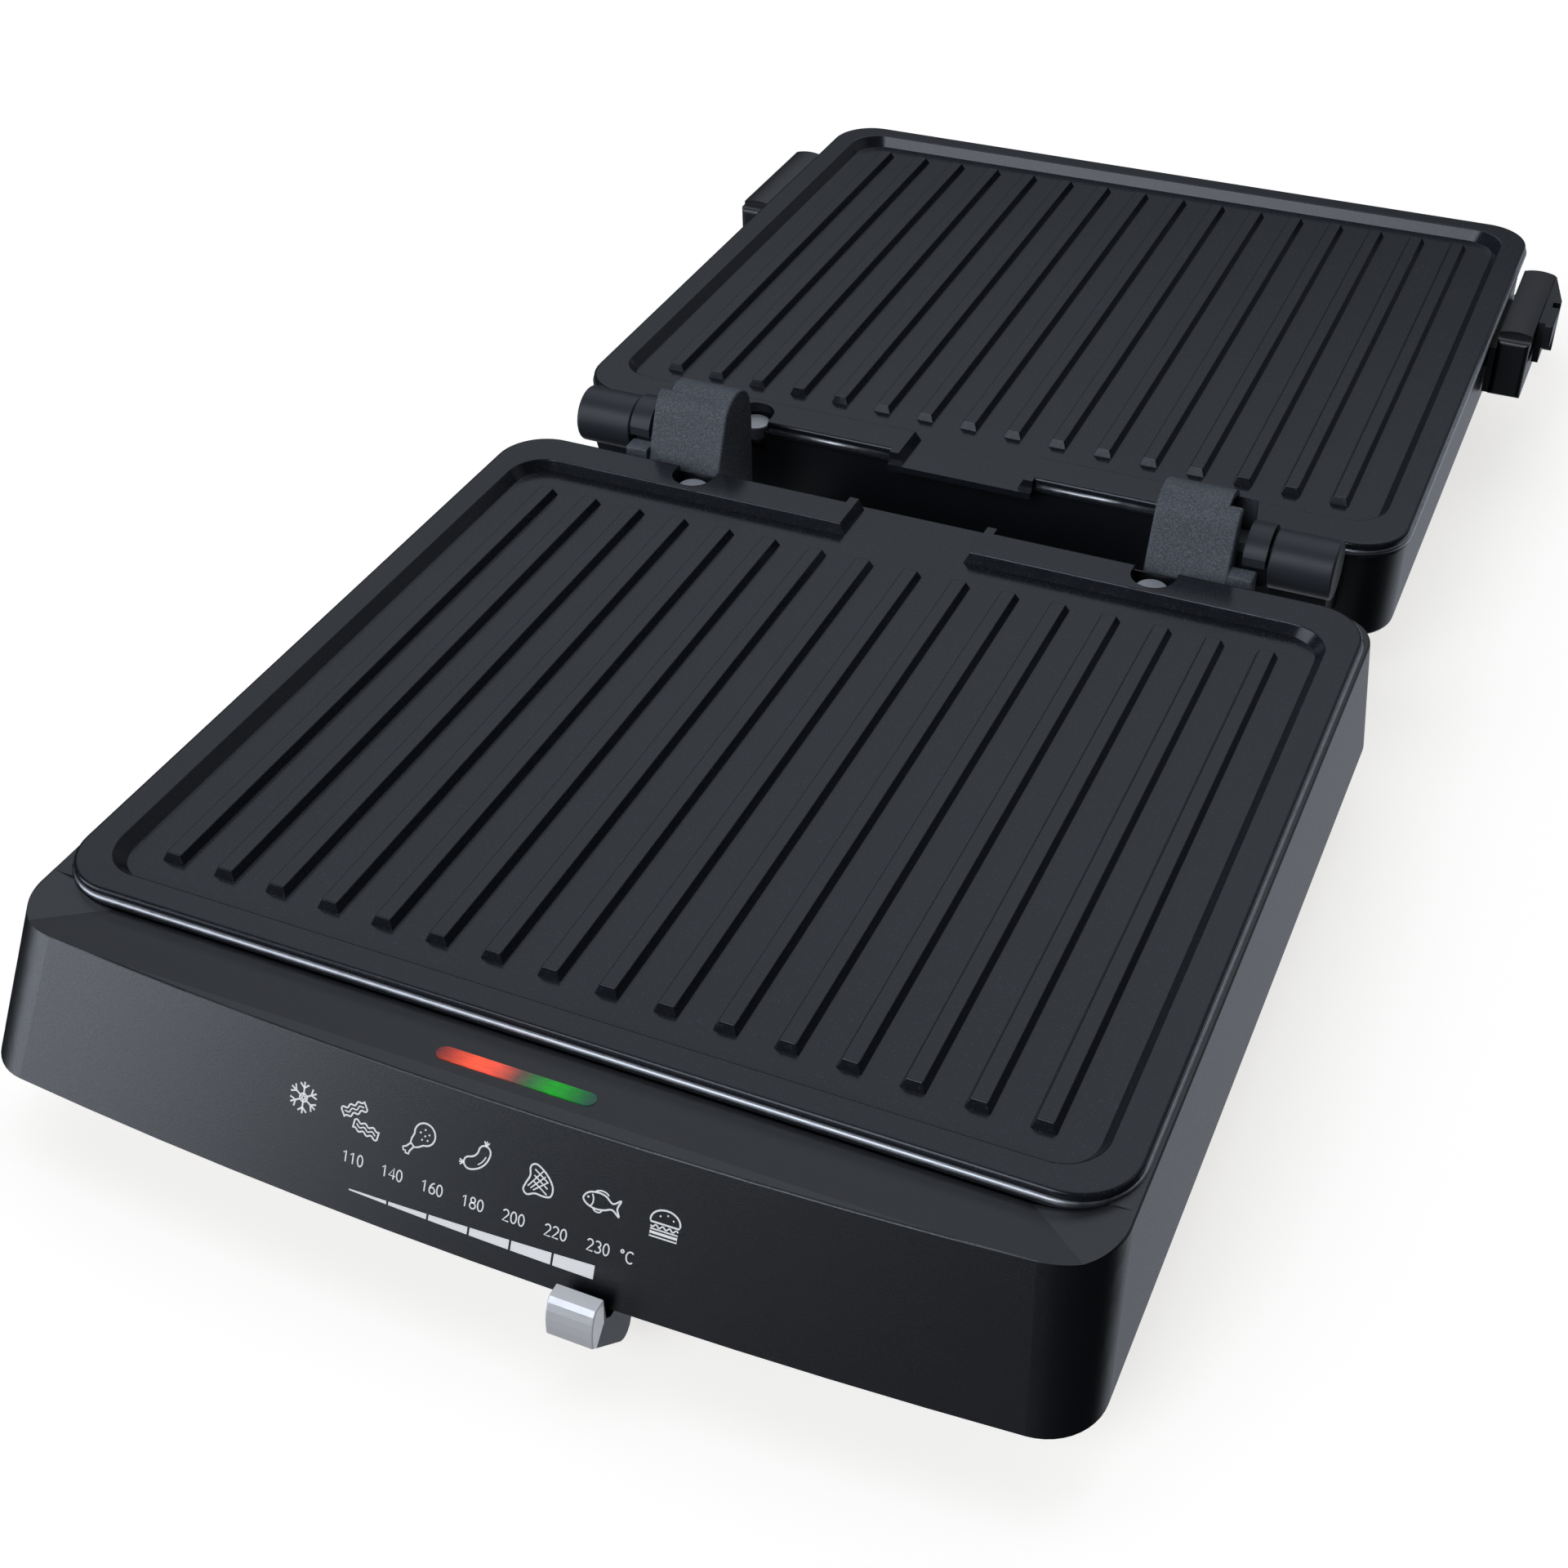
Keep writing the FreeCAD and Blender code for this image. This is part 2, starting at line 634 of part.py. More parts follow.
def make_arm(side):
    outline = (ARM_FRONT_TOP, ARM_SHOULDER, (ARM_TOP, ARM_BACK), ARM_REAR,
               (ARM_REAR_Y, ARM_FOOT_Z))
    body = profile_yz(ARM_X0, (ARM_FRONT_Y, ARM_FOOT_Z), *outline).extrude(X * (ARM_X1 - ARM_X0))
    body = ease(body, ARM_EASE, lambda p: p.x < ARM_X0 + 0.01 and p.z > ARM_FOOT_Z + OVER)
    tall = profile_yz(ARM_X1, (ARM_FRONT_Y, ARM_FOOT_Z), *outline).extrude(X * (ARM_X2 - ARM_X1))
    strip = tall.common(box(ARM_X1, ARM_X2, ARM_FRONT_Y, STRIP_Y, ARM_FOOT_Z, STRIP_Z))
    strip = ease(strip, ARM_EASE, lambda p: p.x > ARM_X2 - 0.01 and p.z > ARM_FOOT_Z + OVER
                 and p.y < STRIP_Y - 0.01)
    flange = profile_yz(ARM_X1, (FLANGE_Y, ARM_FOOT_Z), (FLANGE_Y, FLANGE_Z1), ARM_BACK,
                        ARM_REAR, (ARM_REAR_Y, ARM_FOOT_Z))
    flange = flange.extrude(X * (FLANGE_X - ARM_X1))
    lug_z0, lug_web_z1, lug_z1 = LUG_Z
    lug = box(ARM_X2, LUG_X, *LUG_Y, lug_z0, lug_z1)
    lug = ease(lug, LUG_EASE, lambda p: p.x > ARM_X2 + 0.01)
    lug_web = box(ARM_X1, ARM_X2, *LUG_Y, lug_z0, lug_web_z1)
    arm = join(body, strip, flange, lug, lug_web)
    web_x = ARM_X0 + ARM_WEB_T
    channel = box(web_x, FLANGE_X + OVER, CHANNEL_Y0, CHANNEL_Y1, *CHANNEL_Z)
    arch = rod(ARCH_R, V(web_x, ARCH_Y, ARCH_Z), X, ARM_X1 - ARM_X0 + 10)
    head = arch.common(box(0, 2 * FLANGE_X, CHANNEL_Y0, CHANNEL_Y1, 0, 4 * ARCH_R))
    pin_way = rod(PIN_WAY_R, V(NOTCH_X, LATCH_Y, -HIGH), Z, 12.0)
    arm = cut(arm, channel, head, pin_way)
    studs = [rod(STUD_R, V(STUD_X, STUD_Y, z), Y, ARM_FRONT_Y - STUD_Y + OVER) for z in STUD_Z]
    arm = join(arm, *studs)
    return arm if side > 0 else mirror_x(arm)


SLIDE_Z0 = -5.4
SLIDE_Z1 = 8.6
SLIDE_GAP = 0.3
SLIDE_WEB_GAP = 0.6
COLLAR_X0 = 101.9
COLLAR_X1 = 109.0
COLLAR_Y = (243.6, 262.4)
COLLAR_Z = (-4.0, 14.4)
COLLAR_R = 10.2
RELIEF_Y1 = 247.9
RELIEF_Z1 = 4.8
PIN_IN = 4.0
PIN_SHORT = 3.0


def make_float_slide(side):
    """Block that rises in the arm's channel and carries the hinge pin."""
    y0 = CHANNEL_Y0 + SLIDE_GAP
    y1 = CHANNEL_Y1 - SLIDE_GAP
    block = prism_yz([(y0, SLIDE_Z0), (y1, SLIDE_Z0), (y1, SLIDE_Z1 - 2.6), (y1 - 3.5, SLIDE_Z1),
                      (y0 + 2.1, SLIDE_Z1), (y0, SLIDE_Z1 - 1.8)],
                     ARM_X0 + ARM_WEB_T + SLIDE_WEB_GAP, COLLAR_X0 + 0.5)
    collar = box(COLLAR_X0, COLLAR_X1, *COLLAR_Y, *COLLAR_Z)
    round_top = rod(COLLAR_R, V(COLLAR_X0, HINGE_Y, HINGE_Z), X, COLLAR_X1 - COLLAR_X0)
    collar = collar.common(round_top)
    relief = box(COLLAR_X0 - OVER, COLLAR_X1 + OVER, COLLAR_Y[0] - OVER, RELIEF_Y1, -HIGH,
                 RELIEF_Z1)
    slide = cut(join(block, cut(collar, relief)),
                rod(PIN_R, V(ARM_X0, HINGE_Y, HINGE_Z), X, BARREL_X1 - ARM_X0))
    return slide if side > 0 else mirror_x(slide)


def make_pivot_pin(side):
    x0 = ARM_X0 + PIN_IN
    pin = rod(PIN_R, V(x0, HINGE_Y, HINGE_Z), X, BARREL_X1 - PIN_SHORT - x0)
    return pin if side > 0 else mirror_x(pin)


def make_latch(side):
    """Sprung pin that holds the plate; modelled for the base, turned over for the lid."""
    head = rod(LATCH_HEAD_R, V(NOTCH_X, LATCH_Y, -LATCH_HEAD_T), Z, LATCH_HEAD_T)
    head = ease(head, 0.8, lambda p: p.z > -0.01)
    stem = rod(STEM_R, V(NOTCH_X, STEM_Y, STEM_Z0), Z, 0.2 - LATCH_HEAD_T - STEM_Z0)
    pin = join(head, stem)
    return pin if side > 0 else mirror_x(pin)


# ---- temperature slider --------------------------------------------------------------------
LEVER_X0 = 25.2
LEVER_X1 = 37.5
CAP_PROFILE = [(-61.6, -30.0), (-65.2, -30.0), (-66.3, -31.2), (-67.2, -33.0), (-67.8, -35.0),
               (-68.1, -37.2), (-68.1, -40.2), (-66.5, -41.7), (-62.4, -37.6)]
NECK_PROFILE = [(-61.6, -30.2), (-62.4, -37.6), (-66.5, -41.7), (-55.3, -52.4), (-53.6, -53.1),
                (-52.0, -52.8), (-50.6, -51.6), (-49.6, -49.6), (-48.0, -40.0), (-48.0, -27.0),
                (-51.0, -27.0), (-51.2, -38.9), (-58.9, -39.0), (-60.9, -37.4), (-61.3, -30.2)]


CAP_EASE = 0.4
CAP_EASE_Y = -62.0
SHOE_SIDE = 4.0
SHOE_Y = (-49.0, -42.0)
SHOE_Z = (-29.5, -25.0)
STRIP_X = (-52.0, 56.0)
STRIP_EDGE_Y = (-46.4, -40.0)
STRIP_Z0 = -31.2
STRIP_T = 1.2
STRIP_END_Z = -20.0
STRIP_FOOT = 8.0


def make_slider():
    cap = prism_yz(CAP_PROFILE, LEVER_X0, LEVER_X1)
    cap = ease(cap, CAP_EASE, lambda p: min(abs(p.x - LEVER_X0), abs(p.x - LEVER_X1)) < 0.01
               and p.y < CAP_EASE_Y)
    neck = prism_yz(NECK_PROFILE, LEVER_X0 + 0.2, LEVER_X1 - 0.2)
    shoe = box(LEVER_X0 - SHOE_SIDE, LEVER_X1 + SHOE_SIDE, *SHOE_Y, *SHOE_Z)
    return cap, join(neck, shoe)


def make_slider_rail():
    """Steel strip with turned-up ends that guides the slider shoe."""
    x0, x1 = STRIP_X
    cover_z = BASE_Z0 + COVER_LIFT
    strip = box(x0, x1, *STRIP_EDGE_Y, STRIP_Z0, STRIP_Z0 + STRIP_T)
    ends = [box(x, x + STRIP_T, *STRIP_EDGE_Y, STRIP_Z0, STRIP_END_Z)
            for x in (x0, x1 - STRIP_T)]
    feet = [box(x, x + STRIP_FOOT, *STRIP_EDGE_Y, cover_z, STRIP_Z0)
            for x in (x0, x1 - STRIP_FOOT)]
    return join(strip, *(ends + feet))


# ---- lid shell -----------------------------------------------------------------------------
LID_T = 2.6
COVER_T = 2.4
COVER_EASE = 1.6
LIP_IN = 0.5
ROOM_IN = 1.2
BOSS_X0 = 143.0
BOSS_Y = (20.0, 52.0)
BOSS_Z = (-21.0, -8.0)


def make_lid_housing():
    upright = slab(LID_W, LID_FRONT_Y, LID_HINGE_Y, LID_R, LID_Z0 + COVER_T, LID_TOP_Z)
    inner = slab(LID_W - LID_T, LID_FRONT_Y + LID_T, LID_HINGE_Y - LID_T, LID_R - LID_T,
                 LID_Z0 - OVER, LID_TOP_Z + OVER)
    ledge = slab(LID_W - LIP_IN, LID_FRONT_Y + LIP_IN, LID_HINGE_Y - LIP_IN, LID_R - LIP_IN,
                 LEDGE_Z - SHELL_T, LEDGE_Z)
    shell = join(cut(upright, inner), cut(ledge, plate_well()))
    room = slab(LID_W - ROOM_IN, LID_FRONT_Y + ROOM_IN, LID_HINGE_Y - ROOM_IN, LID_R - ROOM_IN,
                LEDGE_Z, HIGH)
    shell = cut(shell, room, spout_way())
    for side in (-1, 1):
        boss = box(BOSS_X0, BLOCK_X0, *BOSS_Y, *BOSS_Z)
        shell = join(cut(shell, latch_way(side)), boss if side > 0 else mirror_x(boss))
    return shell


def make_lid_cover():
    cover = slab(LID_W, LID_FRONT_Y, LID_HINGE_Y, LID_R, LID_Z0, LID_Z0 + COVER_T)
    return ease(cover, COVER_EASE, lambda p: p.z < LID_Z0 + 0.01)


def make_barrel(side):
    """Lid knuckle with a web back to the lid wall, built straight in the opened position."""
    wall_y = 2 * HINGE_Y - LID_HINGE_Y
    barrel = rod(BARREL_R, V(BARREL_X0, HINGE_Y, HINGE_Z), X, BARREL_X1 - BARREL_X0)
    web = prism_yz([(HINGE_Y - 1.0, HINGE_Z - BARREL_R + 0.2), (HINGE_Y, HINGE_Z - 3.0),
                    (HINGE_Y + 8.6, HINGE_Z - 3.0), (wall_y, -8.0), (wall_y, -24.0),
                    (HINGE_Y + 2.0, -14.0)], BARREL_X0, BARREL_X1)
    barrel = ease(barrel, 0.8, lambda p: p.x < BARREL_X0 + 0.01)
    barrel = join(barrel, web)
    barrel = cut(barrel, rod(PIN_R + RUN, V(BARREL_X0 - OVER, HINGE_Y, HINGE_Z), X,
                             BARREL_X1 - BARREL_END - BARREL_X0 + OVER))
    barrel = tilt(barrel)
    return barrel if side > 0 else mirror_x(barrel)


def make_barrel_cap(side):
    cap = rod(BARREL_R, V(BARREL_X1, HINGE_Y, HINGE_Z), X, CAP_T)
    cap = ease(cap, 0.9, lambda p: p.x > BARREL_X1 + CAP_T - 0.01)
    return cap if side > 0 else mirror_x(cap)


# ---- handle --------------------------------------------------------------------------------
def bar_centre_z():
    """Height in the lid's modelling frame that brings the grip down to the table."""
    a = math.radians(OPEN_TILT)
    y_open = 2 * HINGE_Y - BAR_Y - HINGE_Y
    target = TABLE_Z + GRIP_R - HINGE_Z
    rel = (target - y_open * math.sin(a)) / math.cos(a)
    return rel + HINGE_Z + LID_DROP


def make_bracket(side):
    zb = bar_centre_z()
    top = BLOCK_Z1 + BLOCK_RISE
    body = box(BLOCK_X0, BLOCK_X1, BLOCK_Y0, BLOCK_Y1 - NOSE_LEN, BLOCK_Z0, top)
    crown = rod(CROWN_R, V((BLOCK_X0 + BLOCK_X1) / 2, BLOCK_Y0 - OVER, top - CROWN_R), Y,
                BLOCK_Y1 - BLOCK_Y0)
    body = body.common(crown)
    body = ease(body, BLOCK_END_R, lambda p: p.y < BLOCK_Y0 + 0.01 and p.z > BLOCK_Z0 + 0.01)
    nose = box(BLOCK_X0, BLOCK_X1, BLOCK_Y1 - NOSE_LEN, BLOCK_Y1, BLOCK_Z0, BLOCK_Z1)
    nose = ease(nose, NOSE_R, lambda p: p.y > BLOCK_Y1 - 0.01)
    arm = prism_yz([(BLOCK_Y0 + 18, BLOCK_Z0 + 2), (BLOCK_Y0 + 4, BLOCK_Z0 + 14),
                    (BAR_Y + 2, zb + 8), (BAR_Y - 5, zb + 3), (BAR_Y - 5, zb - 5),
                    (BAR_Y + 3, zb - 7)], BLOCK_X0, BLOCK_X0 + BRACKET_T)
    inner = box(LID_W + INNER_GAP, BLOCK_X0, INNER_Y0, BLOCK_Y1 - NOSE_R, BLOCK_Z0, INNER_Z1)
    bracket = join(body, nose, arm, inner)
    if side > 0:
        face_x = BLOCK_X1 - TONGUE_IN - TONGUE_WAY
        way_z = (TONGUE_Z[0] - TONGUE_WAY, TONGUE_Z[1] + TONGUE_WAY)
        way = box(face_x, BLOCK_X1 + OVER, TONGUE_Y[0] - 4, TONGUE_Y[1] + 16, *way_z)
        y0, y1, y2 = GUARD_Y
        inner_x = BLOCK_X1 - OVER
        guard = prism_xy([(inner_x, y0), (BLOCK_X1 + TONGUE_WAY, y0), (GUARD_X, y1),
                          (GUARD_X, y2), (inner_x, y2)], *GUARD_Z)
        return join(cut(bracket, way), guard)
    return mirror_x(bracket)


def make_handle_bar():
    zb = bar_centre_z()
    bar = rod(BAR_R, V(-BLOCK_X0, BAR_Y, zb), X, 2 * BLOCK_X0)
    return cut(bar, rod(BAR_R - BAR_WALL, V(-BLOCK_X1, BAR_Y, zb), X, 2 * BLOCK_X1))


def make_handle_grip():
    zb = bar_centre_z()
    grip = rod(GRIP_R, V(-GRIP_HALF, BAR_Y, zb), X, 2 * GRIP_HALF)
    grip = ease(grip, GRIP_EASE, lambda p: abs(p.x) > GRIP_HALF - 0.1)
    return cut(grip, rod(BAR_R, V(-BLOCK_X1, BAR_Y, zb), X, 2 * BLOCK_X1))


def make_lock():
    """Thumb slide on the right handle block."""
    face_x = BLOCK_X1 + 0.3
    plate = box(face_x, LOCK_X, *LOCK_Y, *LOCK_Z)
    tab = box(LOCK_X, TAB_X, *TAB_Y, *TAB_Z)
    tab = ease(tab, 0.7, lambda p: p.x > LOCK_X + 0.1)
    tongue = box(BLOCK_X1 - TONGUE_IN, face_x, *TONGUE_Y, *TONGUE_Z)
    return join(plate, tab, tongue)


def make_screws():
    """Cross-head screws that hold the bottom cover."""
    long = SCREW_REACH
    thin = SCREW_SLOT
    heads = []
    for x, y in SCREW_AT:
        head = rod(SCREW_R, V(x, y, SCREW_Z), Z, SCREW_T)
        slots = [box(x - a, x + a, y - b, y + b, SCREW_Z - 0.1, SCREW_Z + thin + 0.1)
                 for a, b in ((long, thin), (thin, long))]
        heads.append(cut(head, *slots))
    return Part.makeCompound(heads)


# ---- electrical pieces ---------------------------------------------------------------------
THERMO_X = 14.0
THERMO_Y = (-36.0, -24.0)
THERMO_Z = (-33.2, -19.0)
SHAFT_R = 2.6
SHAFT_LEN = 3.4
SHAFT_Z = -27.0
TAB_PITCH = 16.0
BLADE_HALF = 2.4
BLADE_Y1 = -17.0
BLADE_Z = (-30.0, -29.2)
BLOCK_HALF = 20.0
TERMINAL_Y = (206.0, 220.0)
TERMINAL_Z1 = -22.0
WIRE_R = 1.8
WIRE_Z = -28.0
WIRE_PITCH = 12.0
TERMINAL_SCREW_R = 2.2
TERMINAL_SCREW_Z = -25.0
GLAND_FLANGE_R = 8.0
GLAND_FLANGE_T = 3.0
GLAND_IN = 6.0
GLAND_NOSE = (7.0, 5.2, 10.0)
LENS_HALF_T = 3.0
LENS_PROUD = 0.25
BOARD_HALF = 24.0
BOARD_Y = (-37.2, -28.7)
BOARD_Z = (-9.6, -8.0)
LAMP_COUNT = 6
LAMP_PITCH = 7.0
CHIP_HALF = 1.4
CHIP_Z1 = -6.6
POST_X = 22.4
POST_HALF = 1.2
POST_Y = (-36.8, -34.4)


def make_thermostat():
    z0, z1 = THERMO_Z
    body = box(-THERMO_X, THERMO_X, *THERMO_Y, z0, z1)
    shaft = rod(SHAFT_R, V(0, THERMO_Y[0], SHAFT_Z), -Y, SHAFT_LEN)
    blades = [box(x - BLADE_HALF, x + BLADE_HALF, THERMO_Y[1], BLADE_Y1, *BLADE_Z)
              for x in (-TAB_PITCH / 2, TAB_PITCH / 2)]
    foot = box(-THERMO_X, THERMO_X, *THERMO_Y, BASE_Z0 + COVER_LIFT, z0)
    return join(body, shaft, foot, *blades)


def make_terminal_block():
    y0, y1 = TERMINAL_Y
    ways = [CORD_X + i * WIRE_PITCH for i in (-1, 0, 1)]
    body = box(CORD_X - BLOCK_HALF, CORD_X + BLOCK_HALF, y0, y1, BASE_Z0 + COVER_LIFT,
               TERMINAL_Z1)
    holes = [rod(WIRE_R, V(x, y0 - OVER, WIRE_Z), Y, y1 - y0 + 2 * OVER) for x in ways]
    screws = [rod(TERMINAL_SCREW_R, V(x, (y0 + y1) / 2, TERMINAL_SCREW_Z), Z, 4) for x in ways]
    return cut(body, *(holes + screws))


def make_cord_gland():
    """Bushing in the rear wall; the cord itself is not part of this model."""
    flange = rod(GLAND_FLANGE_R, V(CORD_X, REAR_Y, CORD_Z), Y, GLAND_FLANGE_T)
    barrel = rod(GLAND_R, V(CORD_X, REAR_Y - GLAND_IN, CORD_Z), Y, GLAND_IN)
    nose = Part.makeCone(*GLAND_NOSE, V(CORD_X, REAR_Y + GLAND_FLANGE_T, CORD_Z), Y)
    bore = rod(CORD_R, V(CORD_X, REAR_Y - GLAND_IN - OVER, CORD_Z), Y, 30)
    return cut(join(flange, barrel, nose), bore)


def make_lens():
    """Light window: sits in the shoulder and follows its slope."""
    lens = lamp_body(LAMP_R, -LENS_HALF_T, LENS_HALF_T)
    dish_y0 = FRONT_Y1 + DISH_FRONT
    slope = DISH_FALL / (PLATE_Y0 - DISH_REAR - dish_y0)
    y0 = LAMP_Y - 2 * LENS_HALF_T
    y1 = LAMP_Y + 2 * LENS_HALF_T

    def top(y):
        return SHOULDER_Z + LENS_PROUD - slope * (y - dish_y0)

    above = prism_yz([(y0, top(y0)), (y1, top(y1)), (y1, HIGH), (y0, HIGH)],
                     LAMP_X - 2 * LAMP_HALF, LAMP_X + 2 * LAMP_HALF)
    return cut(lens, above)


def make_lamp_board():
    """Circuit board under the window with its row of lamps, on two posts."""
    z0, z1 = BOARD_Z
    board = box(LAMP_X - BOARD_HALF, LAMP_X + BOARD_HALF, *BOARD_Y, z0, z1)
    lamps = []
    for i in range(LAMP_COUNT):
        x = LAMP_X + LAMP_PITCH * (i - (LAMP_COUNT - 1) / 2)
        lamps.append(box(x - CHIP_HALF, x + CHIP_HALF, LAMP_Y - CHIP_HALF, LAMP_Y + CHIP_HALF,
                         z1, CHIP_Z1))
    posts = [box(x - POST_HALF, x + POST_HALF, *POST_Y, z1, HOLLOW_TOP_Z)
             for x in (LAMP_X - POST_X, LAMP_X + POST_X)]
    return join(board, *(lamps + posts))


# ---- write the nodes -----------------------------------------------------------------------
plate = make_plate()
element = make_element()
reflector = make_reflector()
save("lower_housing", make_lower_housing())
save("base_cover", make_base_cover())
save("rubber_feet", make_feet())
save("cover_screws", make_screws())
save("tray_guide", make_tray_guide())
save("drip_tray", make_drip_tray())
save("lower_plate", plate)
save("lower_heating_element", element)
save("lower_reflector", reflector)
save("slider_rail", make_slider_rail())
save("thermostat", make_thermostat())
save("terminal_block", make_terminal_block())
save("cord_gland", make_cord_gland())
save("indicator_lens", make_lens())
save("indicator_board", make_lamp_board())
slider_cap, slider_lever = make_slider()
save("slider_cap", slider_cap)
save("slider_lever", slider_lever)

save("lid_housing", to_lid(make_lid_housing()))
save("lid_cover", to_lid(make_lid_cover()))
save("upper_plate", to_lid(plate))
save("upper_heating_element", to_lid(element))
save("upper_reflector", to_lid(reflector))
save("handle_bar", to_lid(make_handle_bar()))
save("handle_grip", to_lid(make_handle_grip()))
save("lock_slider", to_lid(make_lock()))
for side, word in ((-1, "left"), (1, "right")):
    save("hinge_arm_" + word, make_arm(side))
    save("float_slide_" + word, make_float_slide(side))
    save("pivot_pin_" + word, make_pivot_pin(side))
    save("hinge_barrel_" + word, make_barrel(side))
    save("barrel_cap_" + word, make_barrel_cap(side))
    save("handle_bracket_" + word, to_lid(make_bracket(side)))
    save("lower_latch_" + word, make_latch(side))
    save("upper_latch_" + word, to_lid(make_latch(side)))
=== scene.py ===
import json
import math

import bmesh
import bpy
from mathutils import Matrix, Vector


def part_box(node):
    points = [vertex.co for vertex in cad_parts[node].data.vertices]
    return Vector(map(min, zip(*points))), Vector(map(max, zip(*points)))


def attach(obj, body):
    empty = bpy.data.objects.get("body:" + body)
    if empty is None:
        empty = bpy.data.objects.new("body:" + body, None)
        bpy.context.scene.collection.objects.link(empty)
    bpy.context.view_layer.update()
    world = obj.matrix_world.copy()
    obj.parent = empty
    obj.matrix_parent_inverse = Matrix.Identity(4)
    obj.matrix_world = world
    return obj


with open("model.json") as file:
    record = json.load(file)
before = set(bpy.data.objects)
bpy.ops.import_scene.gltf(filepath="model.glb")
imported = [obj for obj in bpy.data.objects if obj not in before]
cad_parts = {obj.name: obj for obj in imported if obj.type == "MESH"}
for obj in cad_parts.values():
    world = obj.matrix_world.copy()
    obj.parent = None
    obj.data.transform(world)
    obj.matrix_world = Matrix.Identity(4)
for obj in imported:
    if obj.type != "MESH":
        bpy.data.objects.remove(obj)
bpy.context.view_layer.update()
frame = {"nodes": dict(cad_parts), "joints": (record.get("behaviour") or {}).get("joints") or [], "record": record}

MM = 0.001

# ---- camera: the angle of the reference view --------------------------------------------------
CAMERA_AT = Vector((0.209316, -0.588544, 0.430956))
CAMERA_AZIMUTH = math.radians(24.2925)
CAMERA_ELEVATION = math.radians(38.1497)
CAMERA_ROLL = math.radians(-0.7193)
CAMERA_LENS = 50.675
CAMERA_SENSOR = 36.0
CAMERA_CLIP = 0.01


def add_camera():
    back = Vector((math.sin(CAMERA_AZIMUTH) * math.cos(CAMERA_ELEVATION),
                   -math.cos(CAMERA_AZIMUTH) * math.cos(CAMERA_ELEVATION),
                   math.sin(CAMERA_ELEVATION)))
    level_right = Vector((0, 0, 1)).cross(back).normalized()
    level_up = back.cross(level_right)
    right = level_right * math.cos(CAMERA_ROLL) + level_up * math.sin(CAMERA_ROLL)
    up = level_up * math.cos(CAMERA_ROLL) - level_right * math.sin(CAMERA_ROLL)
    camera = bpy.data.cameras.new("camera")
    camera.lens = CAMERA_LENS
    camera.sensor_width = CAMERA_SENSOR
    camera.clip_start = CAMERA_CLIP
    holder = bpy.data.objects.new("camera", camera)
    holder.matrix_world = Matrix((
        (right.x, up.x, back.x, CAMERA_AT.x),
        (right.y, up.y, back.y, CAMERA_AT.y),
        (right.z, up.z, back.z, CAMERA_AT.z),
        (0, 0, 0, 1)))
    bpy.context.scene.collection.objects.link(holder)
    bpy.context.scene.camera = holder


# ---- materials --------------------------------------------------------------------------------
# The part of a noise's range that most of it lies in
NOISE_LOW = 0.3
NOISE_HIGH = 0.7
BLACK = (0.0, 0.0, 0.0)
WHITE = (1.0, 1.0, 1.0)
WARM_WHITE = (1.0, 0.99, 0.97, 1.0)


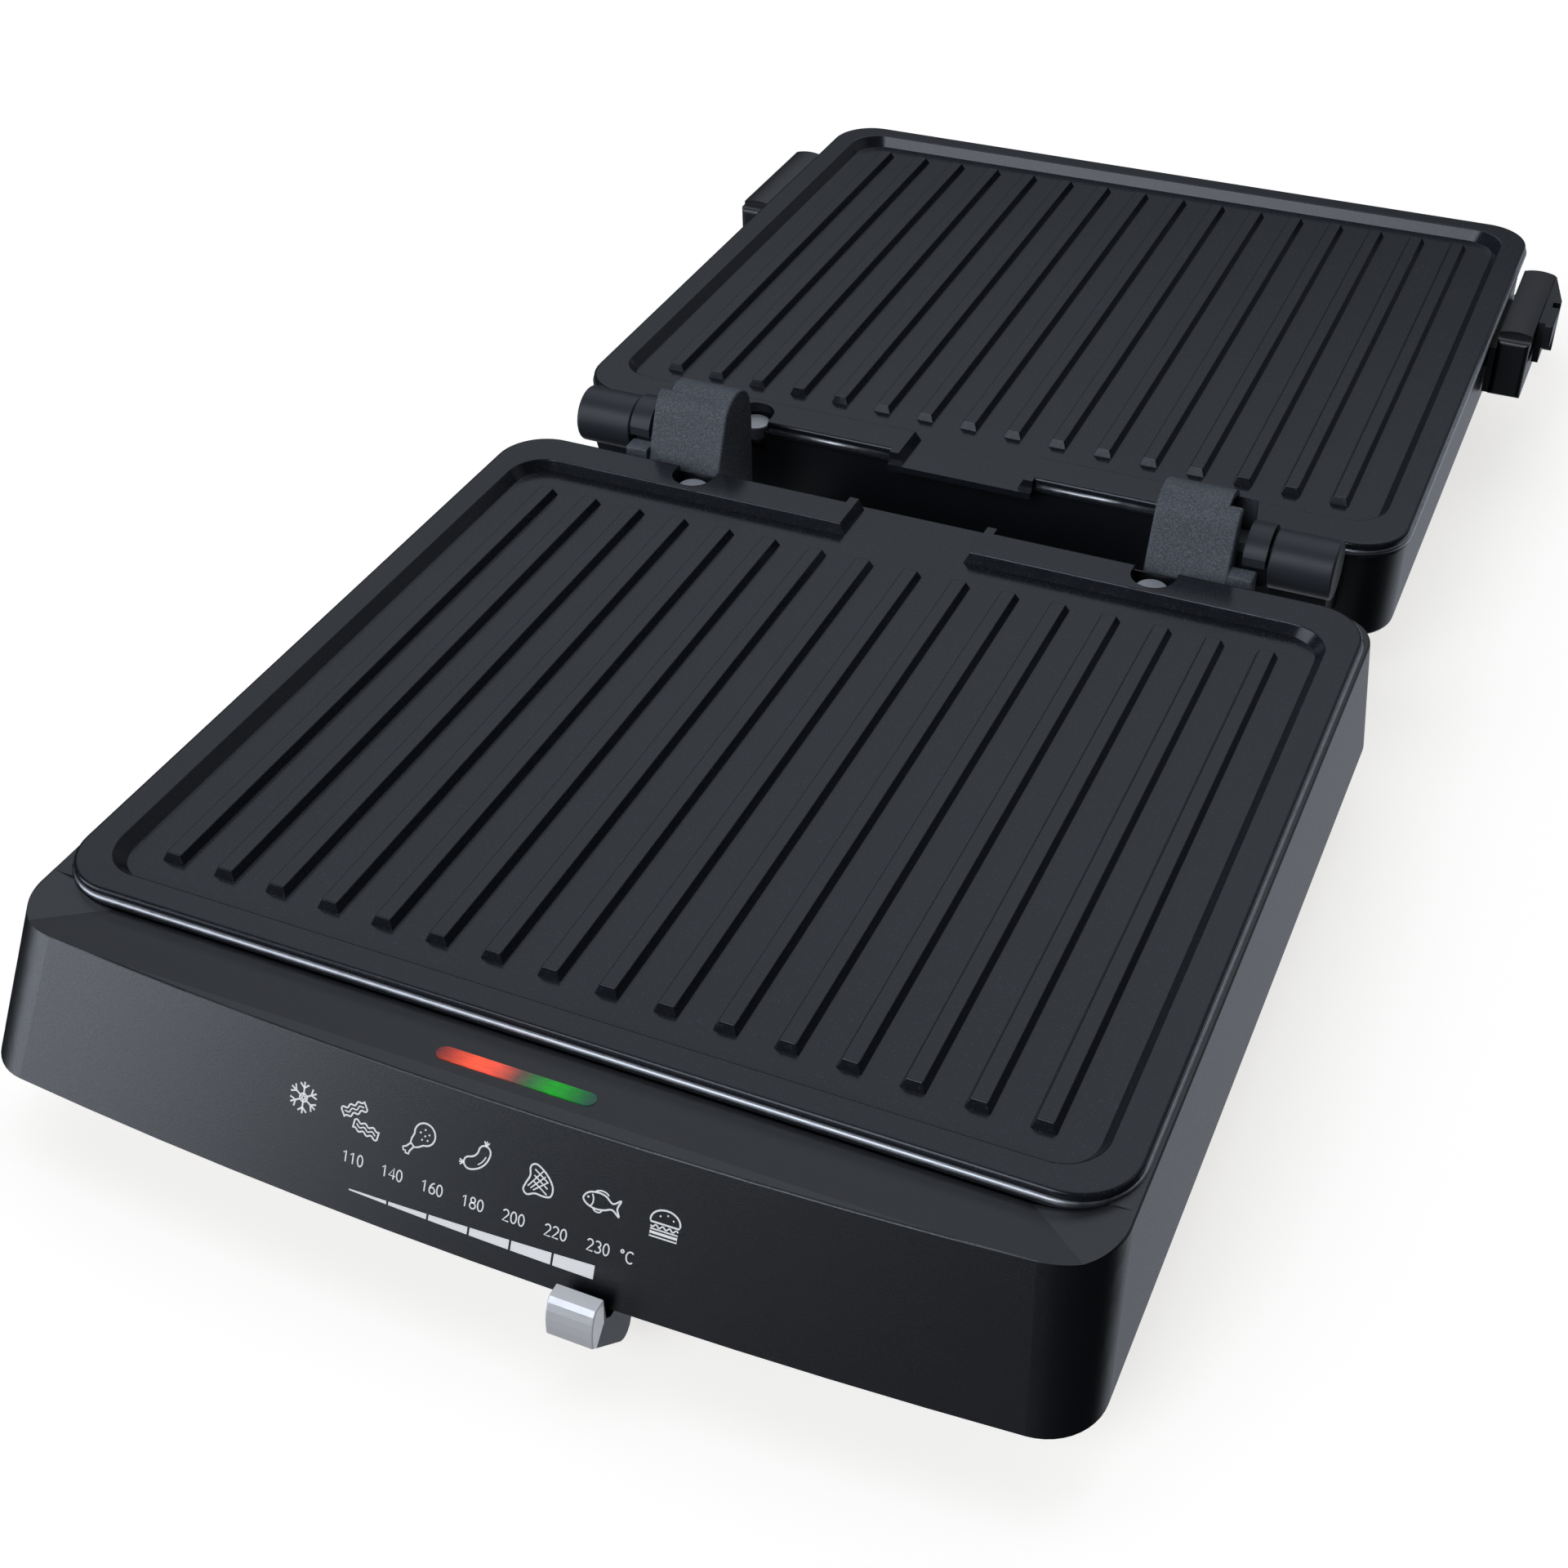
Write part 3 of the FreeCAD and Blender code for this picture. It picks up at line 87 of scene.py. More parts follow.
class Nodes:
    """A material's node tree with short calls for the nodes used here."""

    def __init__(self, name):
        self.material = bpy.data.materials.new(name)
        self.material.use_nodes = True
        self.tree = self.material.node_tree
        self.shader = self.tree.nodes["Principled BSDF"]
        self.coords = self.tree.nodes.new("ShaderNodeTexCoord").outputs["Object"]

    def link(self, a, b):
        self.tree.links.new(a, b)

    def noise(self, scale, detail, roughness=0.5, stretch=None):
        node = self.tree.nodes.new("ShaderNodeTexNoise")
        node.inputs["Scale"].default_value = scale
        node.inputs["Detail"].default_value = detail
        node.inputs["Roughness"].default_value = roughness
        source = self.coords
        if stretch:
            mapping = self.tree.nodes.new("ShaderNodeMapping")
            mapping.inputs["Scale"].default_value = stretch
            self.link(source, mapping.inputs["Vector"])
            source = mapping.outputs["Vector"]
        self.link(source, node.inputs["Vector"])
        return node.outputs["Fac"]

    def along_x(self, start, end):
        """0 to 1 from one x of the piece to another."""
        split = self.tree.nodes.new("ShaderNodeSeparateXYZ")
        self.link(self.coords, split.inputs["Vector"])
        return self.span(split.outputs["X"], start, end, 0.0, 1.0)

    def span(self, source, low, high, to_low, to_high):
        node = self.tree.nodes.new("ShaderNodeMapRange")
        node.inputs["From Min"].default_value = low
        node.inputs["From Max"].default_value = high
        node.inputs["To Min"].default_value = to_low
        node.inputs["To Max"].default_value = to_high
        self.link(source, node.inputs["Value"])
        return node.outputs["Result"]

    def ramp(self, source, stops):
        node = self.tree.nodes.new("ShaderNodeValToRGB")
        elements = node.color_ramp.elements
        while len(elements) < len(stops):
            elements.new(0.5)
        for element, (position, colour) in zip(elements, stops):
            element.position = position
            element.color = (*colour, 1.0)
        self.link(source, node.inputs["Fac"])
        return node.outputs["Color"]

    def two_tone(self, source, dark, light):
        return self.ramp(source, [(NOISE_LOW, dark), (NOISE_HIGH, light)])

    def blend(self, kind, a, b):
        node = self.tree.nodes.new("ShaderNodeMix")
        node.data_type = "RGBA"
        node.blend_type = kind
        node.inputs["Factor"].default_value = 1.0
        colours = [i for i in node.inputs if i.type == "RGBA"]
        self.link(a, colours[0])
        self.link(b, colours[1])
        return next(o for o in node.outputs if o.type == "RGBA")

    def colour(self, source):
        self.link(source, self.shader.inputs["Base Color"])

    def roughness(self, source, at_low, at_high):
        rough = self.span(source, NOISE_LOW, NOISE_HIGH, at_low, at_high)
        self.link(rough, self.shader.inputs["Roughness"])

    def relief(self, height, distance):
        node = self.tree.nodes.new("ShaderNodeBump")
        node.inputs["Distance"].default_value = distance
        node.inputs["Strength"].default_value = 1.0
        self.link(height, node.inputs["Height"])
        self.link(node.outputs["Normal"], self.shader.inputs["Normal"])

    def set(self, **values):
        for key, value in values.items():
            self.shader.inputs[key.replace("_", " ")].default_value = value


CLOUD_SCALE = 35.0
CLOUD_DETAIL = 3.0
ROUGH_SPREAD = 0.05


def plastic(name, dark, light, rough, relief, scale, **settings):
    """Moulded plastic: fine grain in the normal, slight cloudiness in colour and roughness."""
    n = Nodes(name)
    grain = n.noise(scale, 1.0)
    n.colour(n.two_tone(n.noise(CLOUD_SCALE, CLOUD_DETAIL), dark, light))
    n.roughness(grain, rough - ROUGH_SPREAD, rough + ROUGH_SPREAD)
    n.relief(grain, relief)
    n.set(**settings)
    return n.material


def metal(name, dark, light, rough, scale, stretch=None, relief=0.00002):
    """Bare metal, brushed along the axis whose stretch is the smallest."""
    n = Nodes(name)
    brush = n.noise(scale, 3.0, stretch=stretch)
    n.colour(n.two_tone(brush, dark, light))
    n.roughness(brush, *rough)
    n.relief(brush, relief)
    n.set(Metallic=1.0)
    return n.material


def textured():
    """Spark-eroded plastic: grain bumps, with painted glints that make the top of each grain lighter."""
    n = Nodes("textured_plastic")
    grain = n.noise(scale=1900.0, detail=2.0, roughness=0.65)
    base = n.two_tone(n.noise(scale=60.0, detail=2.0), (0.082, 0.089, 0.101), (0.104, 0.112, 0.126))
    # painted glints: grain tops lighter in colour where the bumps rise, standing in for light caught by each grain
    painted_grain_glints = n.ramp(grain, [(0.42, BLACK), (0.66, (0.10, 0.107, 0.12))])
    n.colour(n.blend("ADD", base, painted_grain_glints))
    n.roughness(grain, 0.62, 0.38)
    n.relief(grain, 0.00018)
    return n.material


def nonstick():
    """Cast plate under a speckled coating: fine bright flecks over blue-black, light gloss."""
    n = Nodes("nonstick_coating")
    fleck = n.noise(scale=1700.0, detail=1.0)
    base = n.two_tone(n.noise(scale=28.0, detail=2.0), (0.016, 0.018, 0.023), (0.019, 0.021, 0.027))
    flecks = n.ramp(fleck, [(0.60, BLACK), (0.76, (0.035, 0.038, 0.044))])
    n.colour(n.blend("ADD", base, flecks))
    n.roughness(fleck, 0.16, 0.24)
    n.relief(fleck, 0.000012)
    return n.material


# Light window: where its ends are, and its glow from the left end (0) to the right one (1)
LENS_X = (-20.3 * MM, 22.3 * MM)
LENS_GLOW = [
    (0.0, (0.10, 0.02, 0.02)),
    (0.06, (0.30, 0.03, 0.02)),
    (0.24, (1.0, 0.10, 0.04)),
    (0.36, (0.90, 0.09, 0.05)),
    (0.52, (0.12, 0.06, 0.05)),
    (0.60, (0.03, 0.13, 0.04)),
    (0.74, (0.005, 0.33, 0.01)),
    (0.86, (0.005, 0.20, 0.02)),
    (0.96, (0.01, 0.08, 0.04)),
    (1.0, (0.02, 0.05, 0.04)),
]


def lens_glow():
    """Light window: red glows through one end, green through the other, over fine prisms."""
    n = Nodes("indicator_window")
    prisms = n.noise(scale=420.0, detail=1.0, stretch=(1.0, 3.5, 1.0))
    shade = n.ramp(prisms, [(0.35, (0.82, 0.82, 0.82)), (0.65, WHITE)])
    lit = n.blend("MULTIPLY", n.ramp(n.along_x(*LENS_X), LENS_GLOW), shade)
    n.colour(lit)
    n.link(lit, n.shader.inputs["Emission Color"])
    n.roughness(prisms, 0.18, 0.30)
    n.relief(prisms, 0.00004)
    n.set(Emission_Strength=0.85)
    return n.material


MATERIALS = {
    "housing": plastic("housing_plastic", (0.0085, 0.0095, 0.012), (0.010, 0.011, 0.014),
                       rough=0.35, relief=0.000025, scale=3200.0, Specular_IOR_Level=0.95),
    "textured_plastic": textured(),
    "trim_plastic": plastic("trim_plastic", (0.028, 0.030, 0.034), (0.034, 0.036, 0.041),
                            rough=0.36, relief=0.00003, scale=1800.0),
    "nonstick": nonstick(),
    "bright_chrome": metal("chrome", (0.90, 0.90, 0.91), (0.95, 0.95, 0.95),
                           rough=(0.24, 0.30), scale=60.0, relief=0.000004),
    "pin_steel": metal("ground_steel", (0.45, 0.45, 0.46), (0.60, 0.60, 0.61),
                       rough=(0.28, 0.42), scale=900.0, stretch=(0.08, 1.0, 1.0)),
    "element_steel": metal("element_sheath", (0.25, 0.22, 0.20), (0.38, 0.35, 0.33),
                           rough=(0.4, 0.55), scale=400.0, stretch=(1.0, 0.1, 1.0)),
    "reflector_sheet": metal("reflector_sheet", (0.62, 0.62, 0.63), (0.72, 0.72, 0.73),
                             rough=(0.25, 0.4), scale=500.0, stretch=(1.0, 0.05, 1.0)),
    "foot_rubber": plastic("foot_rubber", (0.020, 0.020, 0.021), (0.028, 0.028, 0.029),
                           rough=0.8, relief=0.0001, scale=900.0),
    "lens": lens_glow(),
    "board": plastic("circuit_board", (0.02, 0.10, 0.05), (0.03, 0.14, 0.07),
                     rough=0.45, relief=0.00005, scale=600.0),
    "insulator": plastic("insulator", (0.62, 0.60, 0.55), (0.70, 0.68, 0.62),
                         rough=0.6, relief=0.00006, scale=500.0),
}

# Finishes of single pieces within a slot
BARREL_PLASTIC = plastic("barrel_plastic", (0.034, 0.038, 0.045), (0.042, 0.046, 0.053),
                         rough=0.42, relief=0.00003, scale=2600.0)
LATCH_METAL = plastic("latch_metal", (0.62, 0.63, 0.65), (0.74, 0.75, 0.77),
                      rough=0.42, relief=0.00002, scale=1200.0, Metallic=0.55)
# Slider cap: satin metal with a faint painted glow (emission) that brightens it as no lamp does
SLIDER_CAP_PAINTED_GLOW = plastic("satin_cap_painted_glow", (0.72, 0.73, 0.75), (0.78, 0.79, 0.81),
                    rough=0.34, relief=0.000008, scale=900.0, Metallic=0.45,
                    Emission_Color=(1.0, 1.0, 1.02, 1.0), Emission_Strength=0.16)
OWN_FINISH = {
    "hinge_barrel": BARREL_PLASTIC,
    "barrel_cap": BARREL_PLASTIC,
    "float_slide": BARREL_PLASTIC,
    "lower_latch": LATCH_METAL,
    "upper_latch": LATCH_METAL,
    "slider_cap": SLIDER_CAP_PAINTED_GLOW,
}

# Materials of the pieces made here
BARE_METAL = metal("bare_lip", (0.50, 0.51, 0.53), (0.66, 0.67, 0.70),
                   rough=(0.32, 0.44), scale=300.0)
# White print ink, with a painted glow (emission) that brightens it as no lamp does
PRINT_PAINTED_GLOW = plastic("print_ink_painted_glow", (0.86, 0.86, 0.86), (0.92, 0.92, 0.92),
                rough=0.5, relief=0.00001, scale=900.0,
                Emission_Color=WARM_WHITE, Emission_Strength=0.32)


def dress_cad_nodes():
    """Every carried-over CAD node takes its own finish, or else the material of its slot."""
    slots = {s["node"]: s["material_slot"] for s in frame["record"]["subparts"]}
    for name, node in frame["nodes"].items():
        own = [finish for start, finish in OWN_FINISH.items() if name.startswith(start)]
        material = own[0] if own else MATERIALS[slots[name]]
        if not node.material_slots:
            node.data.materials.append(material)
        for slot in node.material_slots:
            slot.material = material


# ---- pieces -----------------------------------------------------------------------------------
def add_piece(name, bm, material, body, smooth):
    bmesh.ops.recalc_face_normals(bm, faces=bm.faces)
    mesh = bpy.data.meshes.new(name)
    bm.to_mesh(mesh)
    bm.free()
    mesh.materials.append(material)
    if smooth:
        mesh.shade_smooth()
    piece = bpy.data.objects.new(name, mesh)
    bpy.context.scene.collection.objects.link(piece)
    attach(piece, body)


# The bare lip under each plate's rim
BEAD_R = 1.15 * MM
BEAD_SIDES = 10
BEAD_IN = 0.75 * MM
BEAD_DROP = 3.2 * MM
BEAD_LENGTH = 251.8 * MM
BEAD_CORNER_R = 17.0 * MM
NOTCH_FROM = 70.6 * MM
NOTCH_TO = 86.0 * MM
SPOUT_HALF = 26.0 * MM
CORNER_STEPS = 14

# How the upper plate lies to the lower one's mirror image
HINGE = Vector(next(j["pos_m"] for j in frame["joints"] if j["name"] == "lid_hinge"))
LID_DROP = 1.54 * MM
OPEN_TILT = math.radians(0.69)


def to_base(point):
    return point


def to_lid(point):
    """Where a point of the lower plate's casting is on the upper one, as it lies open."""
    mirrored = Vector((point.x, 2 * HINGE.y - point.y, point.z - LID_DROP))
    return HINGE + Matrix.Rotation(OPEN_TILT, 3, "X") @ (mirrored - HINGE)


def tube(bm, path):
    """A closed tube of round section along an open path of points."""
    rings = []
    for i, at in enumerate(path):
        ahead = path[min(i + 1, len(path) - 1)]
        behind = path[max(i - 1, 0)]
        along = (ahead - behind).normalized()
        across = along.cross(Vector((0, 0, 1))).normalized()
        up = across.cross(along)
        turns = [2 * math.pi * k / BEAD_SIDES for k in range(BEAD_SIDES)]
        rings.append([bm.verts.new(at + BEAD_R * (math.cos(t) * across + math.sin(t) * up))
                      for t in turns])
    for one, two in zip(rings, rings[1:]):
        for k in range(BEAD_SIDES):
            m = (k + 1) % BEAD_SIDES
            bm.faces.new((one[k], one[m], two[m], two[k]))
    bm.faces.new(rings[0])
    bm.faces.new(rings[-1])


def bead_paths():
    """Round the plate between its two latch notches, and the two runs beside the spout."""
    low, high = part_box("lower_plate")
    r = BEAD_CORNER_R
    level = high.z - BEAD_DROP
    front = low.y + BEAD_IN
    rear = front + BEAD_LENGTH
    corner_x = (high.x - low.x) / 2 - BEAD_IN - r
    corners = ((corner_x, rear - r, 90), (corner_x, front + r, 0),
               (-corner_x, front + r, -90), (-corner_x, rear - r, -180))
    around = [Vector((NOTCH_TO, rear, level))]
    for cx, cy, start in corners:
        for k in range(CORNER_STEPS + 1):
            t = math.radians(start - 90 * k / CORNER_STEPS)
            around.append(Vector((cx + r * math.cos(t), cy + r * math.sin(t), level)))
    around.append(Vector((-NOTCH_TO, rear, level)))
    right = [Vector((SPOUT_HALF, rear, level)), Vector((NOTCH_FROM, rear, level))]
    left = [Vector((-p.x, p.y, p.z)) for p in right]
    return [around, right, left]


def add_beads():
    for name, body, place in (("lower_plate_bead", "base", to_base),
                              ("upper_plate_bead", "lid", to_lid)):
        bm = bmesh.new()
        for path in bead_paths():
            tube(bm, [place(p) for p in path])
        add_piece(name, bm, BARE_METAL, body, smooth=True)


# ---- prints on the control panel ---------------------------------------------------------------
PANEL_LOW_Y = -309.4 * MM
PANEL_LOW_Z = 22.0 * MM
PANEL_HIGH_Y = -291.7 * MM
PANEL_HIGH_Z = 58.9 * MM
PANEL_BOW = 0.31              # the panel falls back by this times x squared, in metres
PRINT_PROUD = 0.05 * MM
PRINT_DEPTH = 0.12 * MM

# Line widths, in mm
BOLD = 0.42
FINE = 0.34
WAVE = 0.36
HATCH = 0.32
SHINE = 0.3


def on_panel(x, s, proud):
    """The point x mm from the middle and s mm down the panel from its upper edge."""
    fall = math.hypot(PANEL_HIGH_Y - PANEL_LOW_Y, PANEL_HIGH_Z - PANEL_LOW_Z)
    t = 1 - s * MM / fall
    normal = Vector((0, PANEL_LOW_Z - PANEL_HIGH_Z, PANEL_HIGH_Y - PANEL_LOW_Y)).normalized()
    y = PANEL_LOW_Y + (PANEL_HIGH_Y - PANEL_LOW_Y) * t + PANEL_BOW * (x * MM) ** 2
    z = PANEL_LOW_Z + (PANEL_HIGH_Z - PANEL_LOW_Z) * t
    return Vector((x * MM, y, z)) + normal * proud


def solid_patch(bm, outline):
    """A thin closed solid on the panel from an outline of (x, s) points."""
    over = [bm.verts.new(on_panel(x, s, PRINT_PROUD)) for x, s in outline]
    under = [bm.verts.new(on_panel(x, s, PRINT_PROUD - PRINT_DEPTH)) for x, s in outline]
    bm.faces.new(over)
    bm.faces.new(under[::-1])
    count = len(outline)
    for i in range(count):
        j = (i + 1) % count
        bm.faces.new((over[i], over[j], under[j], under[i]))


def stroke(bm, points, width=BOLD, closed=False):
    """A line of the given width through (x, s) points, as one thin closed solid."""
    count = len(points)
    sides = ([], [])
    for i, (x, s) in enumerate(points):
        ahead = points[(i + 1) % count] if closed or i < count - 1 else points[i]
        behind = points[i - 1] if closed or i > 0 else points[i]
        dx, ds = ahead[0] - behind[0], ahead[1] - behind[1]
        size = math.hypot(dx, ds)
        nx, ns = -ds / size * width / 2, dx / size * width / 2
        sides[0].append((x + nx, s + ns))
        sides[1].append((x - nx, s - ns))
    levels = (PRINT_PROUD, PRINT_PROUD - PRINT_DEPTH)
    upper_left, upper_right, lower_left, lower_right = (
        [bm.verts.new(on_panel(x, s, level)) for x, s in side]
        for level in levels for side in sides)
    for i in range(count if closed else count - 1):
        j = (i + 1) % count
        for one, two in ((upper_left, upper_right), (upper_right, lower_right),
                         (lower_right, lower_left), (lower_left, upper_left)):
            bm.faces.new((one[i], one[j], two[j], two[i]))
    if not closed:
        for i in (0, count - 1):
            bm.faces.new((upper_left[i], upper_right[i], lower_right[i], lower_left[i]))


def arc(cx, cy, rx, ry, start, end, steps):
    angles = [math.radians(start + (end - start) * k / steps) for k in range(steps + 1)]
    return [(cx + rx * math.cos(t), cy + ry * math.sin(t)) for t in angles]


def moved(points, cx, cy):
    return [(cx + x, cy + y) for x, y in points]


def turned(points, cx, cy, degrees):
    """Points turned about the origin, then moved to (cx, cy)."""
    c, w = math.cos(math.radians(degrees)), math.sin(math.radians(degrees))
    return [(cx + c * x - w * y, cy + w * x + c * y) for x, y in points]


def smooth_loop(knots, steps):
    """Catmull-Rom curve through a closed loop of points."""
    count = len(knots)
    curve = []
    for i in range(count):
        a, b, c, d = (knots[(i + k) % count] for k in (-1, 0, 1, 2))
        for k in range(steps):
            t = k / steps
            curve.append(tuple(0.5 * (2 * b[n] + (c[n] - a[n]) * t
                                      + (2 * a[n] - 5 * b[n] + 4 * c[n] - d[n]) * t * t
                                      + (3 * b[n] - a[n] - 3 * c[n] + d[n]) * t ** 3)
                               for n in (0, 1)))
    return curve


def dots(bm, centres, cx, cy, r):
    for x, y in moved(centres, cx, cy):
        solid_patch(bm, arc(x, y, r, r, 0, 330, 11))


# Pictograms: drawn about their own middle in mm, x to the right and y down the panel
SNOWFLAKE_ARM = (
    ((0.25, 0), (4.1, 0)),
    ((2.5, 0), (3.6, -1.25)),
    ((2.5, 0), (3.6, 1.25)),
    ((0.9, 0.55), (1.1, 0), (0.9, -0.55)),
)


def draw_snowflake(bm, cx, cy):
    for k in range(6):
        for line in SNOWFLAKE_ARM:
            stroke(bm, turned(line, cx, cy, 60 * k + 30))


BACON_HALF = 3.5
BACON_LEVELS = (-1.1, 0.0, 1.1)
BACON_POINTS = 21
BACON_WAVE = 0.32
BACON_RATE = 2.7


def draw_bacon(bm, cx, cy, degrees):
    xs = [BACON_HALF * (2 * k / (BACON_POINTS - 1) - 1) for k in range(BACON_POINTS)]
    upper, streak, lower = ([(x, level + BACON_WAVE * math.sin(x * BACON_RATE)) for x in xs]
                            for level in BACON_LEVELS)
    stroke(bm, turned(upper + lower[::-1], cx, cy, degrees), closed=True)
    stroke(bm, turned(streak[2:-2], cx, cy, degrees), FINE)


DRUMSTICK_TURN = 220
DRUMSTICK_HEAD = arc(0, 0, 2.8, 2.8, -50, 230, 26)
DRUMSTICK_SHANK = [(-1.35, -3.6), (-0.75, -4.6), (0.75, -4.6), (1.35, -3.6)]
DRUMSTICK_BONE = [(-0.6, -4.7), (-0.7, -6.3), (-1.1, -7.1), (-0.4, -7.6), (0.0, -7.2),
                  (0.4, -7.6), (1.1, -7.1), (0.7, -6.3), (0.6, -4.7)]
DRUMSTICK_DOTS = ((0, -1.2), (1.2, -0.2), (-1.2, -0.2), (0.1, 0.4), (-0.6, 1.5), (0.9, 1.3))


def draw_drumstick(bm, cx, cy):
    stroke(bm, turned(DRUMSTICK_HEAD + DRUMSTICK_SHANK, cx, cy, DRUMSTICK_TURN), closed=True)
    stroke(bm, turned(DRUMSTICK_BONE, cx, cy, DRUMSTICK_TURN))
    dots(bm, DRUMSTICK_DOTS, cx, cy, 0.24)


SAUSAGE_CENTRE = (-3.0, -3.4)
SAUSAGE_BEND_R = 4.3
SAUSAGE_HALF = 1.55
SAUSAGE_FROM = 6
SAUSAGE_TO = 80
SHINE_OUT = 0.7
SHINE_FROM = 18
SHINE_TO = 54
TIE_LENGTH = 1.25
TIE_SPREAD = (-32, 0, 32)


def draw_sausage(bm, cx, cy):
    bend, half = SAUSAGE_BEND_R, SAUSAGE_HALF
    first, last = (turned([(bend, 0)], *SAUSAGE_CENTRE, angle)[0]
                   for angle in (SAUSAGE_FROM, SAUSAGE_TO))
    start = arc(*first, half, half, SAUSAGE_FROM + 180, SAUSAGE_FROM + 360, 8)[1:-1]
    outer = arc(*SAUSAGE_CENTRE, bend + half, bend + half, SAUSAGE_FROM, SAUSAGE_TO, 16)
    finish = arc(*last, half, half, SAUSAGE_TO, SAUSAGE_TO + 180, 8)[1:-1]
    inner = arc(*SAUSAGE_CENTRE, bend - half, bend - half, SAUSAGE_TO, SAUSAGE_FROM, 12)
    shine = arc(*SAUSAGE_CENTRE, bend + SHINE_OUT, bend + SHINE_OUT, SHINE_FROM, SHINE_TO, 8)
    stroke(bm, moved(start + outer + finish + inner, cx, cy), closed=True)
    stroke(bm, moved(shine, cx, cy), SHINE)
    for (x, y), facing in ((first, SAUSAGE_FROM - 90), (last, SAUSAGE_TO + 90)):
        root = turned([(half, 0)], x, y, facing)[0]
        for spread in TIE_SPREAD:
            tip = turned([(TIE_LENGTH, 0)], *root, facing + spread)[0]
            stroke(bm, moved([root, tip], cx, cy), FINE)


STEAK = ((-1.4, -4.0), (0.4, -3.3), (2.4, -1.6), (3.7, 0.6), (3.4, 2.8), (1.6, 3.3),
         (-0.6, 3.2), (-2.6, 4.0), (-3.7, 3.0), (-3.2, 1.2), (-2.4, -0.8), (-2.6, -3.0))
HATCH_STEP = 1.5
# Each hatch line: the middle one's ends, and how far each end moves per mm of step
RISING_HATCH = (((-1.9, 2.2), (0.5, 0.2)), ((1.5, -1.6), (0.5, 0.8)))
FALLING_HATCH = (((-1.4, -1.2), (0.0, 1.0)), ((2.4, 1.2), (0.0, 1.0)))


def draw_steak(bm, cx, cy):
    stroke(bm, moved(smooth_loop(STEAK, 5), cx, cy), closed=True)
    for lift in (-HATCH_STEP, 0.0, HATCH_STEP):
        for hatch in (RISING_HATCH, FALLING_HATCH):
            ends = [(x + lift * dx, y + lift * dy) for (x, y), (dx, dy) in hatch]
            stroke(bm, moved(ends, cx, cy), HATCH)


FISH = ((-4.7, 0.0), (-3.6, -1.6), (-1.4, -2.2), (0.8, -1.9), (2.8, -0.6), (4.7, -1.9),
        (4.0, 0.3), (4.7, 2.2), (2.8, 0.9), (0.8, 1.6), (-1.4, 1.9), (-3.6, 1.3))
FISH_GILL = arc(-4.0, 0, 1.9, 2.2, -42, 42, 8)
FISH_BACK_FIN = arc(-0.2, -2.0, 1.7, 0.9, 190, 350, 8)
FISH_BELLY_FIN = arc(-0.8, 1.8, 1.1, 0.8, 10, 170, 8)
FISH_EYE = ((-3.5, -0.5),)


def draw_fish(bm, cx, cy):
    stroke(bm, moved(smooth_loop(FISH, 4), cx, cy), closed=True)
    for line in (FISH_GILL, FISH_BACK_FIN, FISH_BELLY_FIN):
        stroke(bm, moved(line, cx, cy), FINE)
    dots(bm, FISH_EYE, cx, cy, 0.28)


BUN = arc(0, -0.4, 3.7, 2.9, 180, 360, 16) + [(3.5, 0.2), (-3.5, 0.2)]
BUN_DOTS = ((-1.4, -1.6), (0.4, -2.2), (1.9, -1.3))
FILLING_HALF = 3.4
SALAD = [(-3.4 + 6.8 * k / 24, 1.1 + 0.35 * math.sin(k * 1.05)) for k in range(25)]
LAYERS = ((1.9, 2.6), (2.9, 3.7))


def draw_burger(bm, cx, cy):
    stroke(bm, moved(BUN, cx, cy), closed=True)
    stroke(bm, moved(SALAD, cx, cy), WAVE)
    for top, bottom in LAYERS:
        bar = [(-FILLING_HALF, top), (FILLING_HALF, top),
               (FILLING_HALF, bottom), (-FILLING_HALF, bottom)]
        stroke(bm, moved(bar, cx, cy), FINE, closed=True)
    dots(bm, BUN_DOTS, cx, cy, 0.22)


# Each pictogram's drawing, its place on the panel and its turn, where it has one
PICTOGRAMS = (
    (draw_snowflake, -49.8, 15.5),
    (draw_bacon, -35.4, 13.7, -31),
    (draw_bacon, -31.6, 17.8, 9),
    (draw_drumstick, -15.7, 13.8),
    (draw_sausage, -0.9, 16.0),
    (draw_steak, 15.1, 15.7),
    (draw_fish, 31.3, 15.9),
    (draw_burger, 47.3, 16.2),
)


def add_pictograms():
    bm = bmesh.new()
    for draw, *place in PICTOGRAMS:
        draw(bm, *place)
    add_piece("panel_pictograms", bm, PRINT_PAINTED_GLOW, "base", smooth=False)


# Dial numbers: text and middle, the row's place and fall, and the size of a character
NUMBERS = (("110", -34.1), ("140", -23.05), ("160", -11.95), ("180", -0.85), ("200", 10.1),
           ("220", 21.15), ("230", 32.15), ("oC", 39.0))
ROW_S = 26.5
ROW_TILT = 0.0105
GLYPH_UNIT = 1.78
GLYPH_ADVANCE = 1.14
GLYPH_SIDE = 0.07
GLYPH_MIDDLE = 0.8


def ring(cx, cy, rx, ry, steps):
    """A closed line, given as a round that stops just short of its start."""
    return arc(cx, cy, rx, ry, 0, 345, steps), True


